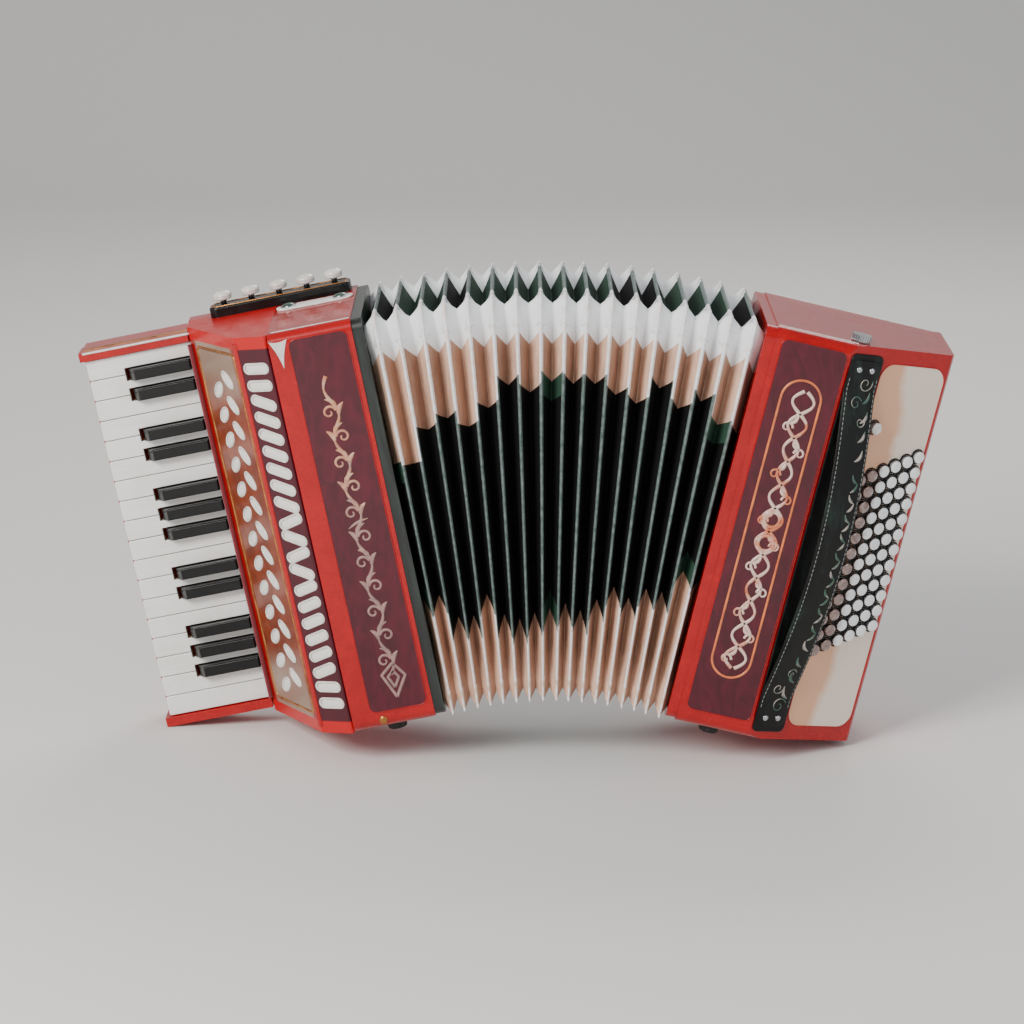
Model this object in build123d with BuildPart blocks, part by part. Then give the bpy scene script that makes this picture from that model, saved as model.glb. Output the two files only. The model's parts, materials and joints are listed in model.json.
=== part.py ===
"""Piano accordion: 30 keys, 72 bass buttons, 17 bellows folds, standing with its bellows fanned open.

Both halves are drawn upright, as they stand when the bellows is shut: X runs from the keyboard to the
bass end, Y from the front to the player, Z up from the underside of the casings. Each half is then swung
about the fan axis, which lies level and far below the bellows, and set down on the floor.
"""

import math
import os

from build123d import *

os.makedirs("parts", exist_ok=True)

# ---- driving dimensions, millimetres ----
HEIGHT = 400.0  # of both casings
DEPTH = 180.0  # of both casings, front to back
WALL = 7.0  # casing boards
EDGE_ROUND = 10.0  # long edges of the casings
FRONT = -DEPTH / 2
BACK = DEPTH / 2

FOLDS = 17
FOLD_PITCH = 6.5  # one fold when shut
FOLD_DEPTH = 25.0  # ridge to valley
CARD = 1.6  # bellows board and cloth together
FRAME_THICK = 10.0  # wooden frame at each end of the bellows
FAN = 24.7  # degrees between the halves as the part stands
FAN_AXIS_DROP = 242.0  # fan axis below the casings' underside

TREBLE_FRONT = 80.0  # width of the treble casing's front
BASS_FRONT = 72.0  # width of the bass casing's front

WHITE_KEYS = 18
KEY_PITCH = 20.7
KEY_LENGTH = 106.0  # what shows of a white key
KEY_TOP = 40.0  # Y of the white keys' faces
KEY_THICK = 12.0
KEY_GAP = 0.4  # each side of a key
BLACK_LENGTH = 66.0
BLACK_WIDE = 11.5
BLACK_RISE = 10.0
KEYBOARD_FOOT = 3.0  # lower end of the keyboard above the casing's underside
CHEEK = 9.0
SIDE_FACET_ACROSS = 54.0  # grille facet next to the keys, measured along X
FRONT_FACET_ACROSS = 34.0  # grille facet next to the treble casing
FRONT_FACET_DEEP = 24.0  # how far that facet falls back from the front
GRILLE_LIP = 5.0  # grille's edge in front of the white keys
BED_FACE = 66.0
BED_BACK = 86.0
AXLE_R = 1.5
AXLE_CLEAR = 0.06
# True where a black key stands above that white key, from the bottom key, C6, up to G3
SHARP_ABOVE = [c in "DEGAB" for c in "CBAGFEDCBAGFEDCBAG"]

GRILLE_SKIN = 3.0
CLOTH_BEHIND = 4.6  # grille's outer face to the cloth
END_SLOPE = 31.0  # degrees between the bass end face and the front
PALM_WIDE = 41.0  # part of the end face under the hand strap
BOARD_WIDE = 80.0
BOARD_TALL = 372.0
BOARD_ROUND = 16.0
BOARD_THICK = 3.0
BASS_ROWS = 12
BASS_COLUMNS = 6
BUTTON_R = 5.4
BUTTON_CLEAR = 0.2
BUTTON_PROUD = 5.0
ROW_PITCH = 15.8
COLUMN_PITCH = 12.7
COLUMN_RISE = 5.6  # each column stands this much higher than the last
BUTTONS_MID = 196.0  # height of the middle of the button field
FOOT_TALL = 8.0
FOOT_R = 9.0

# ---- places worked out from them ----
FOLD_END = FOLDS * FOLD_PITCH / 2
CASE_IN = FOLD_END + FRAME_THICK
TREBLE_OUT = -CASE_IN - TREBLE_FRONT
FACET_CORNER = (TREBLE_OUT - FRONT_FACET_ACROSS, FRONT + FRONT_FACET_DEEP)
GRILLE_EDGE = (FACET_CORNER[0] - SIDE_FACET_ACROSS, KEY_TOP - GRILLE_LIP)
KEY_FRONT = GRILLE_EDGE[0] - KEY_LENGTH
BED_LEFT = KEY_FRONT - 4.5
BED_INNER = GRILLE_EDGE[0] - 1.5
AXLE = (GRILLE_EDGE[0] + 20.0, KEY_TOP + 14.0)
KEYS_LOW = KEYBOARD_FOOT + CHEEK + 0.5
KEYBOARD_TOP = KEYS_LOW + WHITE_KEYS * KEY_PITCH + 0.5 + CHEEK
BASS_OUT = CASE_IN + BASS_FRONT
END_DIR = Vector(math.cos(math.radians(END_SLOPE)), math.sin(math.radians(END_SLOPE)), 0)
END_NORMAL = Vector(END_DIR.Y, -END_DIR.X, 0)
END_START = Vector(BASS_OUT, FRONT, 0)
END_STOP = END_START + END_DIR * (PALM_WIDE + BOARD_WIDE + 1.5)
BASS_END = END_STOP.X + 2.0
FOOT_PLACES = {
    "treble": [(TREBLE_OUT + 40, -66), (TREBLE_OUT + 40, 66)],
    "bass": [(BASS_OUT - 36, -66), (BASS_OUT - 36, 66), (BASS_END - 14, 4), (BASS_END - 14, 72)],
}


def swing(x, z, degrees):
    """Where a point of the upright part goes when it turns about the fan axis."""
    a = math.radians(degrees)
    rise = z + FAN_AXIS_DROP
    return x * math.cos(a) + rise * math.sin(a), rise * math.cos(a) - x * math.sin(a)


# The keyboard's lower corner and the outer bass feet both reach the floor, so the whole part leans a little.
left_x, left_z = swing(BED_LEFT, KEYBOARD_FOOT, -FAN / 2)
right_x, right_z = swing(FOOT_PLACES["bass"][-1][0] + FOOT_R, -FOOT_TALL, FAN / 2)
SETTLE = math.degrees(math.atan2(right_z - left_z, right_x - left_x))
FLOOR = swing(BED_LEFT, KEYBOARD_FOOT, SETTLE - FAN / 2)[1]
LEAN = {"treble": SETTLE - FAN / 2, "bass": SETTLE + FAN / 2, "bellows": SETTLE}
LEFTMOST = swing(BED_LEFT, KEYBOARD_TOP, LEAN["treble"])[0]
RIGHTMOST = swing(BASS_END, HEIGHT - EDGE_ROUND, LEAN["bass"])[0] + 2.0
FAN_AXIS = Axis((0, 0, -FAN_AXIS_DROP), (0, 1, 0))
TO_FLOOR = Vector(-(LEFTMOST + RIGHTMOST) / 2, 0, -FLOOR + FAN_AXIS_DROP)


def placed(piece, half):
    """A piece of the upright part as it stands: swung about the fan axis and set on the floor."""
    return piece.rotate(FAN_AXIS, LEAN[half]).moved(Location(TO_FLOOR))


def keep(piece, name, half):
    """Puts a finished piece in place, labels it and writes it."""
    standing = placed(piece, half)
    standing.label = name
    export_step(standing, f"parts/{name}.step")


# ---- planes of the slanted faces, with local X along the face and local Y up ----
def upright_plane(start, stop):
    """A plane through two points of the plan, its normal pointing away from the inside."""
    along = (Vector(*stop) - Vector(*start)).normalized()
    return Plane(origin=(start[0], start[1], 0), x_dir=(along.X, along.Y, 0), z_dir=(along.Y, -along.X, 0))


SIDE_FACET = upright_plane(GRILLE_EDGE, FACET_CORNER)
FRONT_FACET = upright_plane(FACET_CORNER, (TREBLE_OUT, FRONT))
END_FACE = upright_plane((END_START.X, END_START.Y), (END_STOP.X, END_STOP.Y))
SIDE_FACET_WIDE = math.dist(GRILLE_EDGE, FACET_CORNER)
FRONT_FACET_WIDE = math.dist(FACET_CORNER, (TREBLE_OUT, FRONT))


# ================= treble half =================
with BuildPart() as treble_case:
    with BuildSketch(Plane.YZ.offset(TREBLE_OUT)):
        with Locations((0, HEIGHT / 2)):
            RectangleRounded(DEPTH, HEIGHT, EDGE_ROUND)
            Rectangle(DEPTH - 2 * WALL, HEIGHT - 2 * WALL, mode=Mode.SUBTRACT)
    extrude(amount=TREBLE_FRONT)
keep(treble_case.part, "treble_case", "treble")


def white_key_span(number):
    """Lower and upper edge of a white key's narrow tail, beside the black keys."""
    low = KEYS_LOW + number * KEY_PITCH
    high = low + KEY_PITCH
    beside = BLACK_WIDE / 2 + 2 * KEY_GAP
    if number and SHARP_ABOVE[number - 1]:
        low += beside - KEY_GAP
    if SHARP_ABOVE[number] and number < WHITE_KEYS - 1:
        high -= beside - KEY_GAP
    return low + KEY_GAP, high - KEY_GAP


TONE_HEIGHTS = [sum(white_key_span(n)) / 2 for n in range(WHITE_KEYS)]
BLACK_HEIGHTS = [KEYS_LOW + (n + 1) * KEY_PITCH for n in range(WHITE_KEYS - 1) if SHARP_ABOVE[n]]
PALLET_FACE = TREBLE_OUT - 0.3
ARM_FACE = PALLET_FACE - 9.4
PALLET_MID = -25.0
PALLET_LONG = 30.0
PALLET_WIDE = 8.4
TONE_HOLE_TALL = 5.0
SOUNDBOARD_THICK = 6.0
REED_BLOCK_DEEP, REED_BLOCK_WIDE = 38.0, 16.0
REED_BLOCK_Y = (-52.0, -25.0, 2.0)

with BuildPart() as treble_soundboard:
    board_mid = TREBLE_OUT + SOUNDBOARD_THICK / 2
    with Locations((board_mid, 0, HEIGHT / 2)):
        Box(SOUNDBOARD_THICK, DEPTH - 2 * WALL, HEIGHT - 2 * WALL)
    with Locations(*[(board_mid, PALLET_MID, z) for z in TONE_HEIGHTS + BLACK_HEIGHTS]):
        Box(SOUNDBOARD_THICK, PALLET_LONG - 8, TONE_HOLE_TALL, mode=Mode.SUBTRACT)
keep(treble_soundboard.part, "treble_soundboard", "treble")

with BuildPart() as treble_reed_blocks:
    block_mid = TREBLE_OUT + SOUNDBOARD_THICK + REED_BLOCK_DEEP / 2
    with Locations(*[(block_mid, y, HEIGHT / 2) for y in REED_BLOCK_Y]):
        Box(REED_BLOCK_DEEP, REED_BLOCK_WIDE, HEIGHT - 2 * WALL - 16)
    with Locations(*[(block_mid + 1, y, z) for y in REED_BLOCK_Y for z in TONE_HEIGHTS]):
        Box(REED_BLOCK_DEEP - 12, REED_BLOCK_WIDE + 1, 4, mode=Mode.SUBTRACT)
keep(treble_reed_blocks.part, "treble_reed_blocks", "treble")

LEAF = (12.0, 5.8)
LEAF_ROWS, LEAF_LOW, LEAF_PITCH, LEAF_SLANT = 13, 37.0, 25.4, 30
LEAF_COLUMNS = ((0.42, LEAF_SLANT, 0.0), (0.67, -LEAF_SLANT, LEAF_PITCH / 2))  # share across, slant, lift
BAR = (29.0, 9.2)
BAR_ROWS, BAR_LOW, BAR_PITCH, BAR_SLANT = 21, 31.0, 16.9, 18


def bar_slant(row):
    """Bars lie level at both ends, slant one way below and the other way above, and zigzag in the middle."""
    if row < 2 or row >= BAR_ROWS - 2:
        return 0
    if 7 < row < 13:
        return BAR_SLANT if row % 2 else -BAR_SLANT
    return BAR_SLANT if row <= 7 else -BAR_SLANT


with BuildPart() as grille:
    with BuildSketch(Plane.XY):
        with BuildLine():
            Polyline(
                GRILLE_EDGE,
                FACET_CORNER,
                (TREBLE_OUT, FRONT),
                (TREBLE_OUT, BED_FACE),
                (GRILLE_EDGE[0], BED_FACE),
                close=True,
            )
        make_face()
    extrude(amount=HEIGHT)
    fillet(grille.edges().filter_by(Axis.Z).sort_by(Axis.Y)[0:2], 3)
    with BuildSketch(Plane.XY.offset(GRILLE_SKIN)):
        with BuildLine():
            Polyline(
                (GRILLE_EDGE[0] - 1, KEY_TOP - 1.4),
                (GRILLE_EDGE[0] + 2.5, KEY_TOP - 1.4),
                (FACET_CORNER[0] + 2.8, FACET_CORNER[1] + 2.4),
                (TREBLE_OUT + 1, FRONT + 3.2),
                (TREBLE_OUT + 1, BED_FACE + 1),
                (GRILLE_EDGE[0] - 1, BED_FACE + 1),
                close=True,
            )
        make_face()
    extrude(amount=HEIGHT - 2 * GRILLE_SKIN, mode=Mode.SUBTRACT)
    # leaf slots in the side facet, in two staggered columns that slant towards each other
    with BuildSketch(SIDE_FACET):
        for row in range(LEAF_ROWS):
            for share, slant, lift in LEAF_COLUMNS:
                height = LEAF_LOW + row * LEAF_PITCH + lift
                with Locations(Location((SIDE_FACET_WIDE * share, height, 0), (0, 0, slant))):
                    Ellipse(*LEAF)
    extrude(amount=-2 * GRILLE_SKIN, mode=Mode.SUBTRACT)
    # rounded bar slots in the front facet
    with BuildSketch(FRONT_FACET):
        for row in range(BAR_ROWS):
            height = BAR_LOW + row * BAR_PITCH
            with Locations(Location((FRONT_FACET_WIDE / 2, height, 0), (0, 0, bar_slant(row)))):
                SlotOverall(*BAR)
    extrude(amount=-2 * GRILLE_SKIN, mode=Mode.SUBTRACT)
keep(grille.part, "grille", "treble")

with BuildPart() as grille_cloth:
    for plane, wide in ((SIDE_FACET, SIDE_FACET_WIDE), (FRONT_FACET, FRONT_FACET_WIDE)):
        with BuildSketch(plane.offset(-CLOTH_BEHIND)):
            with Locations((wide / 2 + 1, HEIGHT / 2)):
                Rectangle(wide - 12, HEIGHT - 36)
        extrude(amount=-0.8)
keep(grille_cloth.part, "grille_cloth", "treble")

with BuildPart() as keyboard_bed:
    bed_mid = (KEYBOARD_FOOT + KEYBOARD_TOP) / 2
    with Locations(((BED_LEFT + BED_INNER) / 2, (BED_FACE + BED_BACK) / 2, bed_mid)):
        Box(BED_INNER - BED_LEFT, BED_BACK - BED_FACE, KEYBOARD_TOP - KEYBOARD_FOOT)
    fillet(keyboard_bed.edges().filter_by(Axis.Y).sort_by(Axis.X)[0:2], 3)
    with Locations(((BED_INNER + TREBLE_OUT) / 2, (BED_FACE + BED_BACK) / 2, HEIGHT / 2)):
        Box(TREBLE_OUT - BED_INNER, BED_BACK - BED_FACE, HEIGHT)
    for end in (KEYBOARD_FOOT + CHEEK / 2, KEYBOARD_TOP - CHEEK / 2):
        with Locations(((BED_LEFT + BED_INNER) / 2, (KEY_TOP - 4 + BED_FACE) / 2, end)):
            Box(BED_INNER - BED_LEFT, BED_FACE - KEY_TOP + 4, CHEEK)
    for end in (KEYBOARD_FOOT + CHEEK / 2, HEIGHT - GRILLE_SKIN - 4):
        with Locations((AXLE[0], AXLE[1] + 2, end)):
            Box(16, BED_FACE - AXLE[1] + 8, 8)
    with Locations((AXLE[0], AXLE[1], HEIGHT / 2)):
        Cylinder(AXLE_R, HEIGHT - 2 * WALL, mode=Mode.SUBTRACT)
keep(keyboard_bed.part, "keyboard_bed", "treble")

with BuildPart() as key_axle:
    with Locations((AXLE[0], AXLE[1], HEIGHT / 2)):
        Cylinder(AXLE_R, HEIGHT - 2 * WALL - 2)
keep(key_axle.part, "key_axle", "treble")

LEVER_BLOCK, ARM_THICK = 14.0, 3.0
ARM_OUTLINE = [
    (AXLE[0] - 9, KEY_TOP + 5),
    (AXLE[0] + 7, KEY_TOP + 5),
    (ARM_FACE - 10, PALLET_MID + 52),
    (ARM_FACE - 5, PALLET_MID - PALLET_LONG / 2),
    (ARM_FACE, PALLET_MID - PALLET_LONG / 2),
    (ARM_FACE, PALLET_MID + 58),
    (AXLE[0] + 8, AXLE[1] + 6),
    (AXLE[0] - 9, AXLE[1] + 6),
]


def lever(low, high):
    """A key's balance block on the axle, its arm under the grille and the pallet over its tone hole."""
    middle = (low + high) / 2
    with BuildPart() as made:
        with Locations((AXLE[0] - 1, AXLE[1] - 1, middle)):
            Box(LEVER_BLOCK, LEVER_BLOCK, high - low)
        with BuildSketch(Plane.XY.offset(middle - ARM_THICK / 2)):
            with BuildLine():
                Polyline(*ARM_OUTLINE, close=True)
            make_face()
        extrude(amount=ARM_THICK)
        with Locations((AXLE[0], AXLE[1], middle)):
            Cylinder(AXLE_R + AXLE_CLEAR, high - low + 2, mode=Mode.SUBTRACT)
        with Locations(((ARM_FACE + PALLET_FACE) / 2, PALLET_MID, middle)):
            Box(PALLET_FACE - ARM_FACE, PALLET_LONG, PALLET_WIDE)
    return made.part


for number in range(WHITE_KEYS):
    tail_low, tail_high = white_key_span(number)
    head_low = KEYS_LOW + number * KEY_PITCH + KEY_GAP
    head_high = head_low + KEY_PITCH - 2 * KEY_GAP
    neck = GRILLE_EDGE[0] - BLACK_LENGTH - 4
    tail_end = AXLE[0] + 6
    with BuildPart() as white_key:
        with BuildSketch(Plane.XZ.offset(-KEY_TOP)):
            with BuildLine():
                Polyline(
                    (KEY_FRONT, head_low),
                    *([(neck, head_low), (neck, tail_low)] if tail_low > head_low else []),
                    (tail_end, tail_low),
                    (tail_end, tail_high),
                    *([(neck, tail_high), (neck, head_high)] if tail_high < head_high else []),
                    (KEY_FRONT, head_high),
                    close=True,
                )
            make_face()
        extrude(amount=-KEY_THICK)
        fillet(white_key.edges().filter_by(Axis.Y).sort_by(Axis.X)[0:2], 2)
        fillet(white_key.faces().sort_by(Axis.Y)[0].edges(), 0.8)
        add(lever(tail_low, tail_high))
    keep(white_key.part, f"white_key_{WHITE_KEYS - number:02d}", "treble")

for number, height in enumerate(BLACK_HEIGHTS):
    black_low, black_high = height - BLACK_WIDE / 2, height + BLACK_WIDE / 2
    black_front = GRILLE_EDGE[0] - BLACK_LENGTH
    with BuildPart() as black_key:
        with BuildSketch(Plane.XY.offset(black_low)):
            with BuildLine():
                Polyline(
                    (black_front, KEY_TOP + KEY_THICK),
                    (black_front, KEY_TOP - 1),
                    (black_front + 6, KEY_TOP - BLACK_RISE),
                    (GRILLE_EDGE[0] - 4, KEY_TOP - BLACK_RISE),
                    (GRILLE_EDGE[0] - 4, KEY_TOP + 1),
                    (AXLE[0] + 6, KEY_TOP + 1),
                    (AXLE[0] + 6, KEY_TOP + KEY_THICK),
                    close=True,
                )
            make_face()
        extrude(amount=BLACK_WIDE)
        top_face = black_key.faces().filter_by(Axis.Y).sort_by(Axis.Y)[0]
        fillet(top_face.edges(), 1.6)
        add(lever(black_low, black_high))
    keep(black_key.part, f"black_key_{len(BLACK_HEIGHTS) - number:02d}", "treble")

RAIL_LEFT, RAIL_RIGHT, RAIL_TALL, RAIL_WIDE = TREBLE_OUT - 66, -CASE_IN - 5, 10.0, 26.0
KNOB_Y, KNOB_R, KNOB_STEM_R, KNOB_TALL, KNOB_TRAVEL = 66.0, 9.3, 3.0, 9.0, 4.0
KNOB_PLACES = [RAIL_LEFT + 15 + n * (RAIL_RIGHT - RAIL_LEFT - 30) / 4 for n in range(5)]

with BuildPart() as register_rail:
    with Locations(((RAIL_LEFT + RAIL_RIGHT) / 2, KNOB_Y, HEIGHT + RAIL_TALL / 2)):
        Box(RAIL_RIGHT - RAIL_LEFT, RAIL_WIDE, RAIL_TALL)
    fillet(register_rail.edges().filter_by(Axis.Z), 8)
    fillet(register_rail.faces().sort_by(Axis.Z)[-1].edges(), 2)
    with Locations(*[(x, KNOB_Y, HEIGHT + RAIL_TALL / 2) for x in KNOB_PLACES]):
        Cylinder(KNOB_STEM_R + AXLE_CLEAR, RAIL_TALL, mode=Mode.SUBTRACT)
keep(register_rail.part, "register_rail", "treble")

for number, x in enumerate(KNOB_PLACES, 1):
    stem_foot = HEIGHT + KNOB_TRAVEL + 0.5
    head_foot = HEIGHT + RAIL_TALL + KNOB_TRAVEL + 1
    with BuildPart() as register_knob:
        with Locations((x, KNOB_Y, (stem_foot + head_foot) / 2)):
            Cylinder(KNOB_STEM_R, head_foot - stem_foot)
        with Locations((x, KNOB_Y, head_foot + KNOB_TALL / 2)):
            Cylinder(KNOB_R, KNOB_TALL)
        fillet(register_knob.faces().sort_by(Axis.Z)[-1].edges(), KNOB_TALL - 3)
    keep(register_knob.part, f"register_knob_{number}", "treble")

TOP_STRAP_Y, TOP_STRAP_WIDE, TOP_STRAP_THICK = 30.0, 22.0, 2.4
LUG_R, LUG_BORE_R, LUG_THICK, LUG_OUT, LUG_ROUND = 8.0, 4.0, 5.0, 13.0, 6.0
LUG_PLACES = [(x, z) for x in (TREBLE_OUT + 18, -CASE_IN - 14) for z in (30.0, HEIGHT - 30.0)]

with BuildPart() as strap_brackets:
    with Locations(*[(x, BACK + 1.5, z) for x, z in LUG_PLACES]):
        Box(20, 3, 26)
    with Locations(*[(x, BACK + (LUG_OUT + LUG_R) / 2, z) for x, z in LUG_PLACES]):
        Box(LUG_THICK, LUG_OUT + LUG_R, 2 * LUG_R)
    lug_ends = strap_brackets.faces().filter_by(Axis.Y).group_by(Axis.Y)[-1]
    fillet(lug_ends.edges().filter_by(Axis.X), LUG_ROUND)
    with Locations(*[Location((x, BACK + LUG_OUT, z), (0, 90, 0)) for x, z in LUG_PLACES]):
        Cylinder(LUG_BORE_R, LUG_THICK, mode=Mode.SUBTRACT)
keep(strap_brackets.part, "strap_brackets", "treble")

with BuildPart() as bellows_strap:
    with Locations((-CASE_IN - TREBLE_FRONT / 2, TOP_STRAP_Y, HEIGHT + TOP_STRAP_THICK / 2)):
        Box(TREBLE_FRONT - 4, TOP_STRAP_WIDE, TOP_STRAP_THICK)
    fillet(bellows_strap.edges().filter_by(Axis.Z), 8)
keep(bellows_strap.part, "bellows_strap", "treble")


def bellows_frame(side):
    """One end frame of the bellows: a flat wooden ring between the folds and the casing."""
    with BuildPart() as frame:
        with BuildSketch(Plane.YZ.offset(side * FOLD_END)):
            with Locations((0, HEIGHT / 2)):
                RectangleRounded(DEPTH - 3, HEIGHT - 3, EDGE_ROUND)
                Rectangle(DEPTH - 2 * FOLD_DEPTH - 10, HEIGHT - 2 * FOLD_DEPTH - 10, mode=Mode.SUBTRACT)
        extrude(amount=side * FRAME_THICK)
    return frame.part


def feet(places):
    """Turned rubber feet with a flat sole, under one casing."""
    with BuildPart() as made:
        with Locations(*[(x, y, -FOOT_TALL / 2) for x, y in places]):
            Cone(FOOT_R, FOOT_R + 2, FOOT_TALL)
    return made.part


keep(bellows_frame(-1), "treble_bellows_frame", "treble")
keep(feet(FOOT_PLACES["treble"]), "treble_feet", "treble")


# ================= bellows, drawn fanned open =================
def fold_plane(place):
    """The plane of a valley (whole place) or ridge (half place), counted in folds from the treble end."""
    turn = math.radians((place / FOLDS - 0.5) * FAN)
    off = (place - FOLDS / 2) * FOLD_PITCH
    centre_x, centre_z = swing(off, HEIGHT / 2, math.degrees(turn))
    centre = (centre_x, 0, centre_z - FAN_AXIS_DROP)
    return Plane(origin=centre, x_dir=(0, 1, 0), z_dir=(math.cos(turn), 0, -math.sin(turn)))


RIDGE = (DEPTH - 3, HEIGHT - 3)
VALLEY = (RIDGE[0] - 2 * FOLD_DEPTH, RIDGE[1] - 2 * FOLD_DEPTH)

with BuildPart() as bellows_folds:
    for shrink, mode in ((0, Mode.ADD), (2 * CARD, Mode.SUBTRACT)):
        for half in range(2 * FOLDS):
            sections = []
            for place in (half / 2, half / 2 + 0.5):
                size = RIDGE if place % 1 else VALLEY
                with BuildSketch(fold_plane(place)) as section:
                    Rectangle(size[0] - shrink, size[1] - shrink)
                sections.append(section.sketch)
            loft(sections, ruled=True, mode=mode)
keep(bellows_folds.part, "bellows_folds", "bellows")


# ================= bass half =================
keep(bellows_frame(1), "bass_bellows_frame", "bass")
keep(feet(FOOT_PLACES["bass"]), "bass_feet", "bass")

BOARD_MID = PALM_WIDE + BOARD_WIDE / 2
WHEEL_R, WHEEL_TALL, WHEEL_RIDGES, WHEEL_STEM_R = 10.0, 6.0, 24, 3.0
WHEEL = END_START + END_DIR * (PALM_WIDE / 2) - END_NORMAL * 16
AIR_BUTTON = (PALM_WIDE + 9, 322.0)
AIR_BUTTON_R = 5.5
AIR_BUTTON_PROUD = 7.0
BUTTON_SUNK = 8.0  # below the end face
BUTTONS = {
    "bass_note_buttons": (0, 1),
    "major_minor_buttons": (2, 3),
    "seventh_buttons": (4, 5),
}


def button_places(columns):
    """Places on the end face of the buttons in these columns, whose rows climb away from the strap."""
    places = []
    for column in columns:
        across = column - (BASS_COLUMNS - 1) / 2
        for row in range(BASS_ROWS):
            up = row - (BASS_ROWS - 1) / 2
            height = BUTTONS_MID + up * ROW_PITCH + across * COLUMN_RISE
            places.append((BOARD_MID + across * COLUMN_PITCH, height))
    return places


with BuildPart() as bass_case:
    with BuildSketch(Plane.XY):
        with BuildLine():
            Polyline(
                (CASE_IN, FRONT),
                (END_START.X, END_START.Y),
                (END_STOP.X, END_STOP.Y),
                (BASS_END, END_STOP.Y + 4),
                (BASS_END, BACK),
                (CASE_IN, BACK),
                close=True,
            )
        make_face()
    extrude(amount=HEIGHT)
    with BuildSketch(Plane.YZ.offset(CASE_IN)):
        with Locations((0, HEIGHT / 2)):
            RectangleRounded(DEPTH, HEIGHT, EDGE_ROUND)
    extrude(amount=BASS_END - CASE_IN, mode=Mode.INTERSECT)
    inner_start = END_START - END_NORMAL * WALL - END_DIR * 3
    inner_stop = END_STOP - END_NORMAL * WALL - END_DIR * 2
    with BuildSketch(Plane.XY.offset(WALL)):
        with BuildLine():
            Polyline(
                (CASE_IN - 1, FRONT + WALL),
                (inner_start.X - 1, FRONT + WALL),
                (inner_stop.X, inner_stop.Y),
                (BASS_END - WALL, inner_stop.Y + 5),
                (BASS_END - WALL, BACK - WALL),
                (CASE_IN - 1, BACK - WALL),
                close=True,
            )
        make_face()
    extrude(amount=HEIGHT - 2 * WALL, mode=Mode.SUBTRACT)
    with BuildSketch(END_FACE):
        with Locations((BOARD_MID, HEIGHT / 2)):
            RectangleRounded(BOARD_WIDE, BOARD_TALL, BOARD_ROUND)
    extrude(amount=-BOARD_THICK, mode=Mode.SUBTRACT)
    with BuildSketch(END_FACE.offset(-BOARD_THICK)):
        with Locations((BOARD_MID, HEIGHT / 2)):
            RectangleRounded(BOARD_WIDE - 3, BOARD_TALL - 8, BOARD_ROUND - 2)
    extrude(amount=-2 * WALL, mode=Mode.SUBTRACT)
    with Locations((WHEEL.X, WHEEL.Y, HEIGHT)):
        Cylinder(WHEEL_STEM_R + AXLE_CLEAR, 3 * WALL, mode=Mode.SUBTRACT)
keep(bass_case.part, "bass_case", "bass")

with BuildPart() as button_board:
    with BuildSketch(END_FACE.offset(-BOARD_THICK)):
        with Locations((BOARD_MID, HEIGHT / 2)):
            RectangleRounded(BOARD_WIDE - 0.4, BOARD_TALL - 0.4, BOARD_ROUND - 0.2)
        with Locations(*button_places(range(BASS_COLUMNS))):
            Circle(BUTTON_R + BUTTON_CLEAR, mode=Mode.SUBTRACT)
        with Locations(AIR_BUTTON):
            Circle(AIR_BUTTON_R + BUTTON_CLEAR, mode=Mode.SUBTRACT)
    extrude(amount=BOARD_THICK)
keep(button_board.part, "button_board", "bass")

for name, columns in BUTTONS.items():
    with BuildPart() as buttons:
        with BuildSketch(END_FACE.offset(-BUTTON_SUNK)):
            with Locations(*button_places(columns)):
                Circle(BUTTON_R)
        extrude(amount=BUTTON_SUNK + BUTTON_PROUD)
        flat = buttons.faces().filter_by(GeomType.PLANE)
        outer = [face for face in flat if END_FACE.to_local_coords(face.center()).Z > 0]
        fillet([edge for face in outer for edge in face.edges()], 1.2)
    keep(buttons.part, name, "bass")

with BuildPart() as air_button:
    with BuildSketch(END_FACE.offset(-BUTTON_SUNK)):
        with Locations(AIR_BUTTON):
            Circle(AIR_BUTTON_R)
    extrude(amount=BUTTON_SUNK + AIR_BUTTON_PROUD)
keep(air_button.part, "air_button", "bass")

STRAP_LIFT, STRAP_THICK, STRAP_LOW, STRAP_TAB = 22.0, 3.0, 14.0, 28.0
STRAP_PLANE = Plane(origin=END_START + END_DIR * 1.5, x_dir=(0, 0, 1), z_dir=END_DIR)
with BuildPart() as bass_strap:
    with BuildSketch(STRAP_PLANE):
        with BuildLine():
            low, high = STRAP_LOW, HEIGHT - STRAP_LOW
            low_bend, high_bend = low + STRAP_TAB, high - STRAP_TAB
            top_mid = (HEIGHT / 2, STRAP_LIFT + STRAP_THICK)
            Line((low, 0), (low_bend, 0))
            ThreePointArc((low_bend, 0), (HEIGHT / 2, STRAP_LIFT), (high_bend, 0))
            Polyline((high_bend, 0), (high, 0), (high, STRAP_THICK), (high_bend + 1, STRAP_THICK))
            ThreePointArc((high_bend + 1, STRAP_THICK), top_mid, (low_bend - 1, STRAP_THICK))
            Polyline((low_bend - 1, STRAP_THICK), (low, STRAP_THICK), (low, 0))
        make_face()
    extrude(amount=PALM_WIDE - 3)
keep(bass_strap.part, "bass_strap", "bass")

with BuildPart() as strap_wheel:
    with Locations((WHEEL.X, WHEEL.Y, HEIGHT + 1 + WHEEL_TALL / 2)):
        Cylinder(WHEEL_R, WHEEL_TALL)
        with PolarLocations(WHEEL_R, WHEEL_RIDGES):
            Cylinder(0.8, WHEEL_TALL, mode=Mode.SUBTRACT)
    with Locations((WHEEL.X, WHEEL.Y, HEIGHT - 3)):
        Cylinder(WHEEL_STEM_R, 8)
keep(strap_wheel.part, "strap_wheel", "bass")

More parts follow.
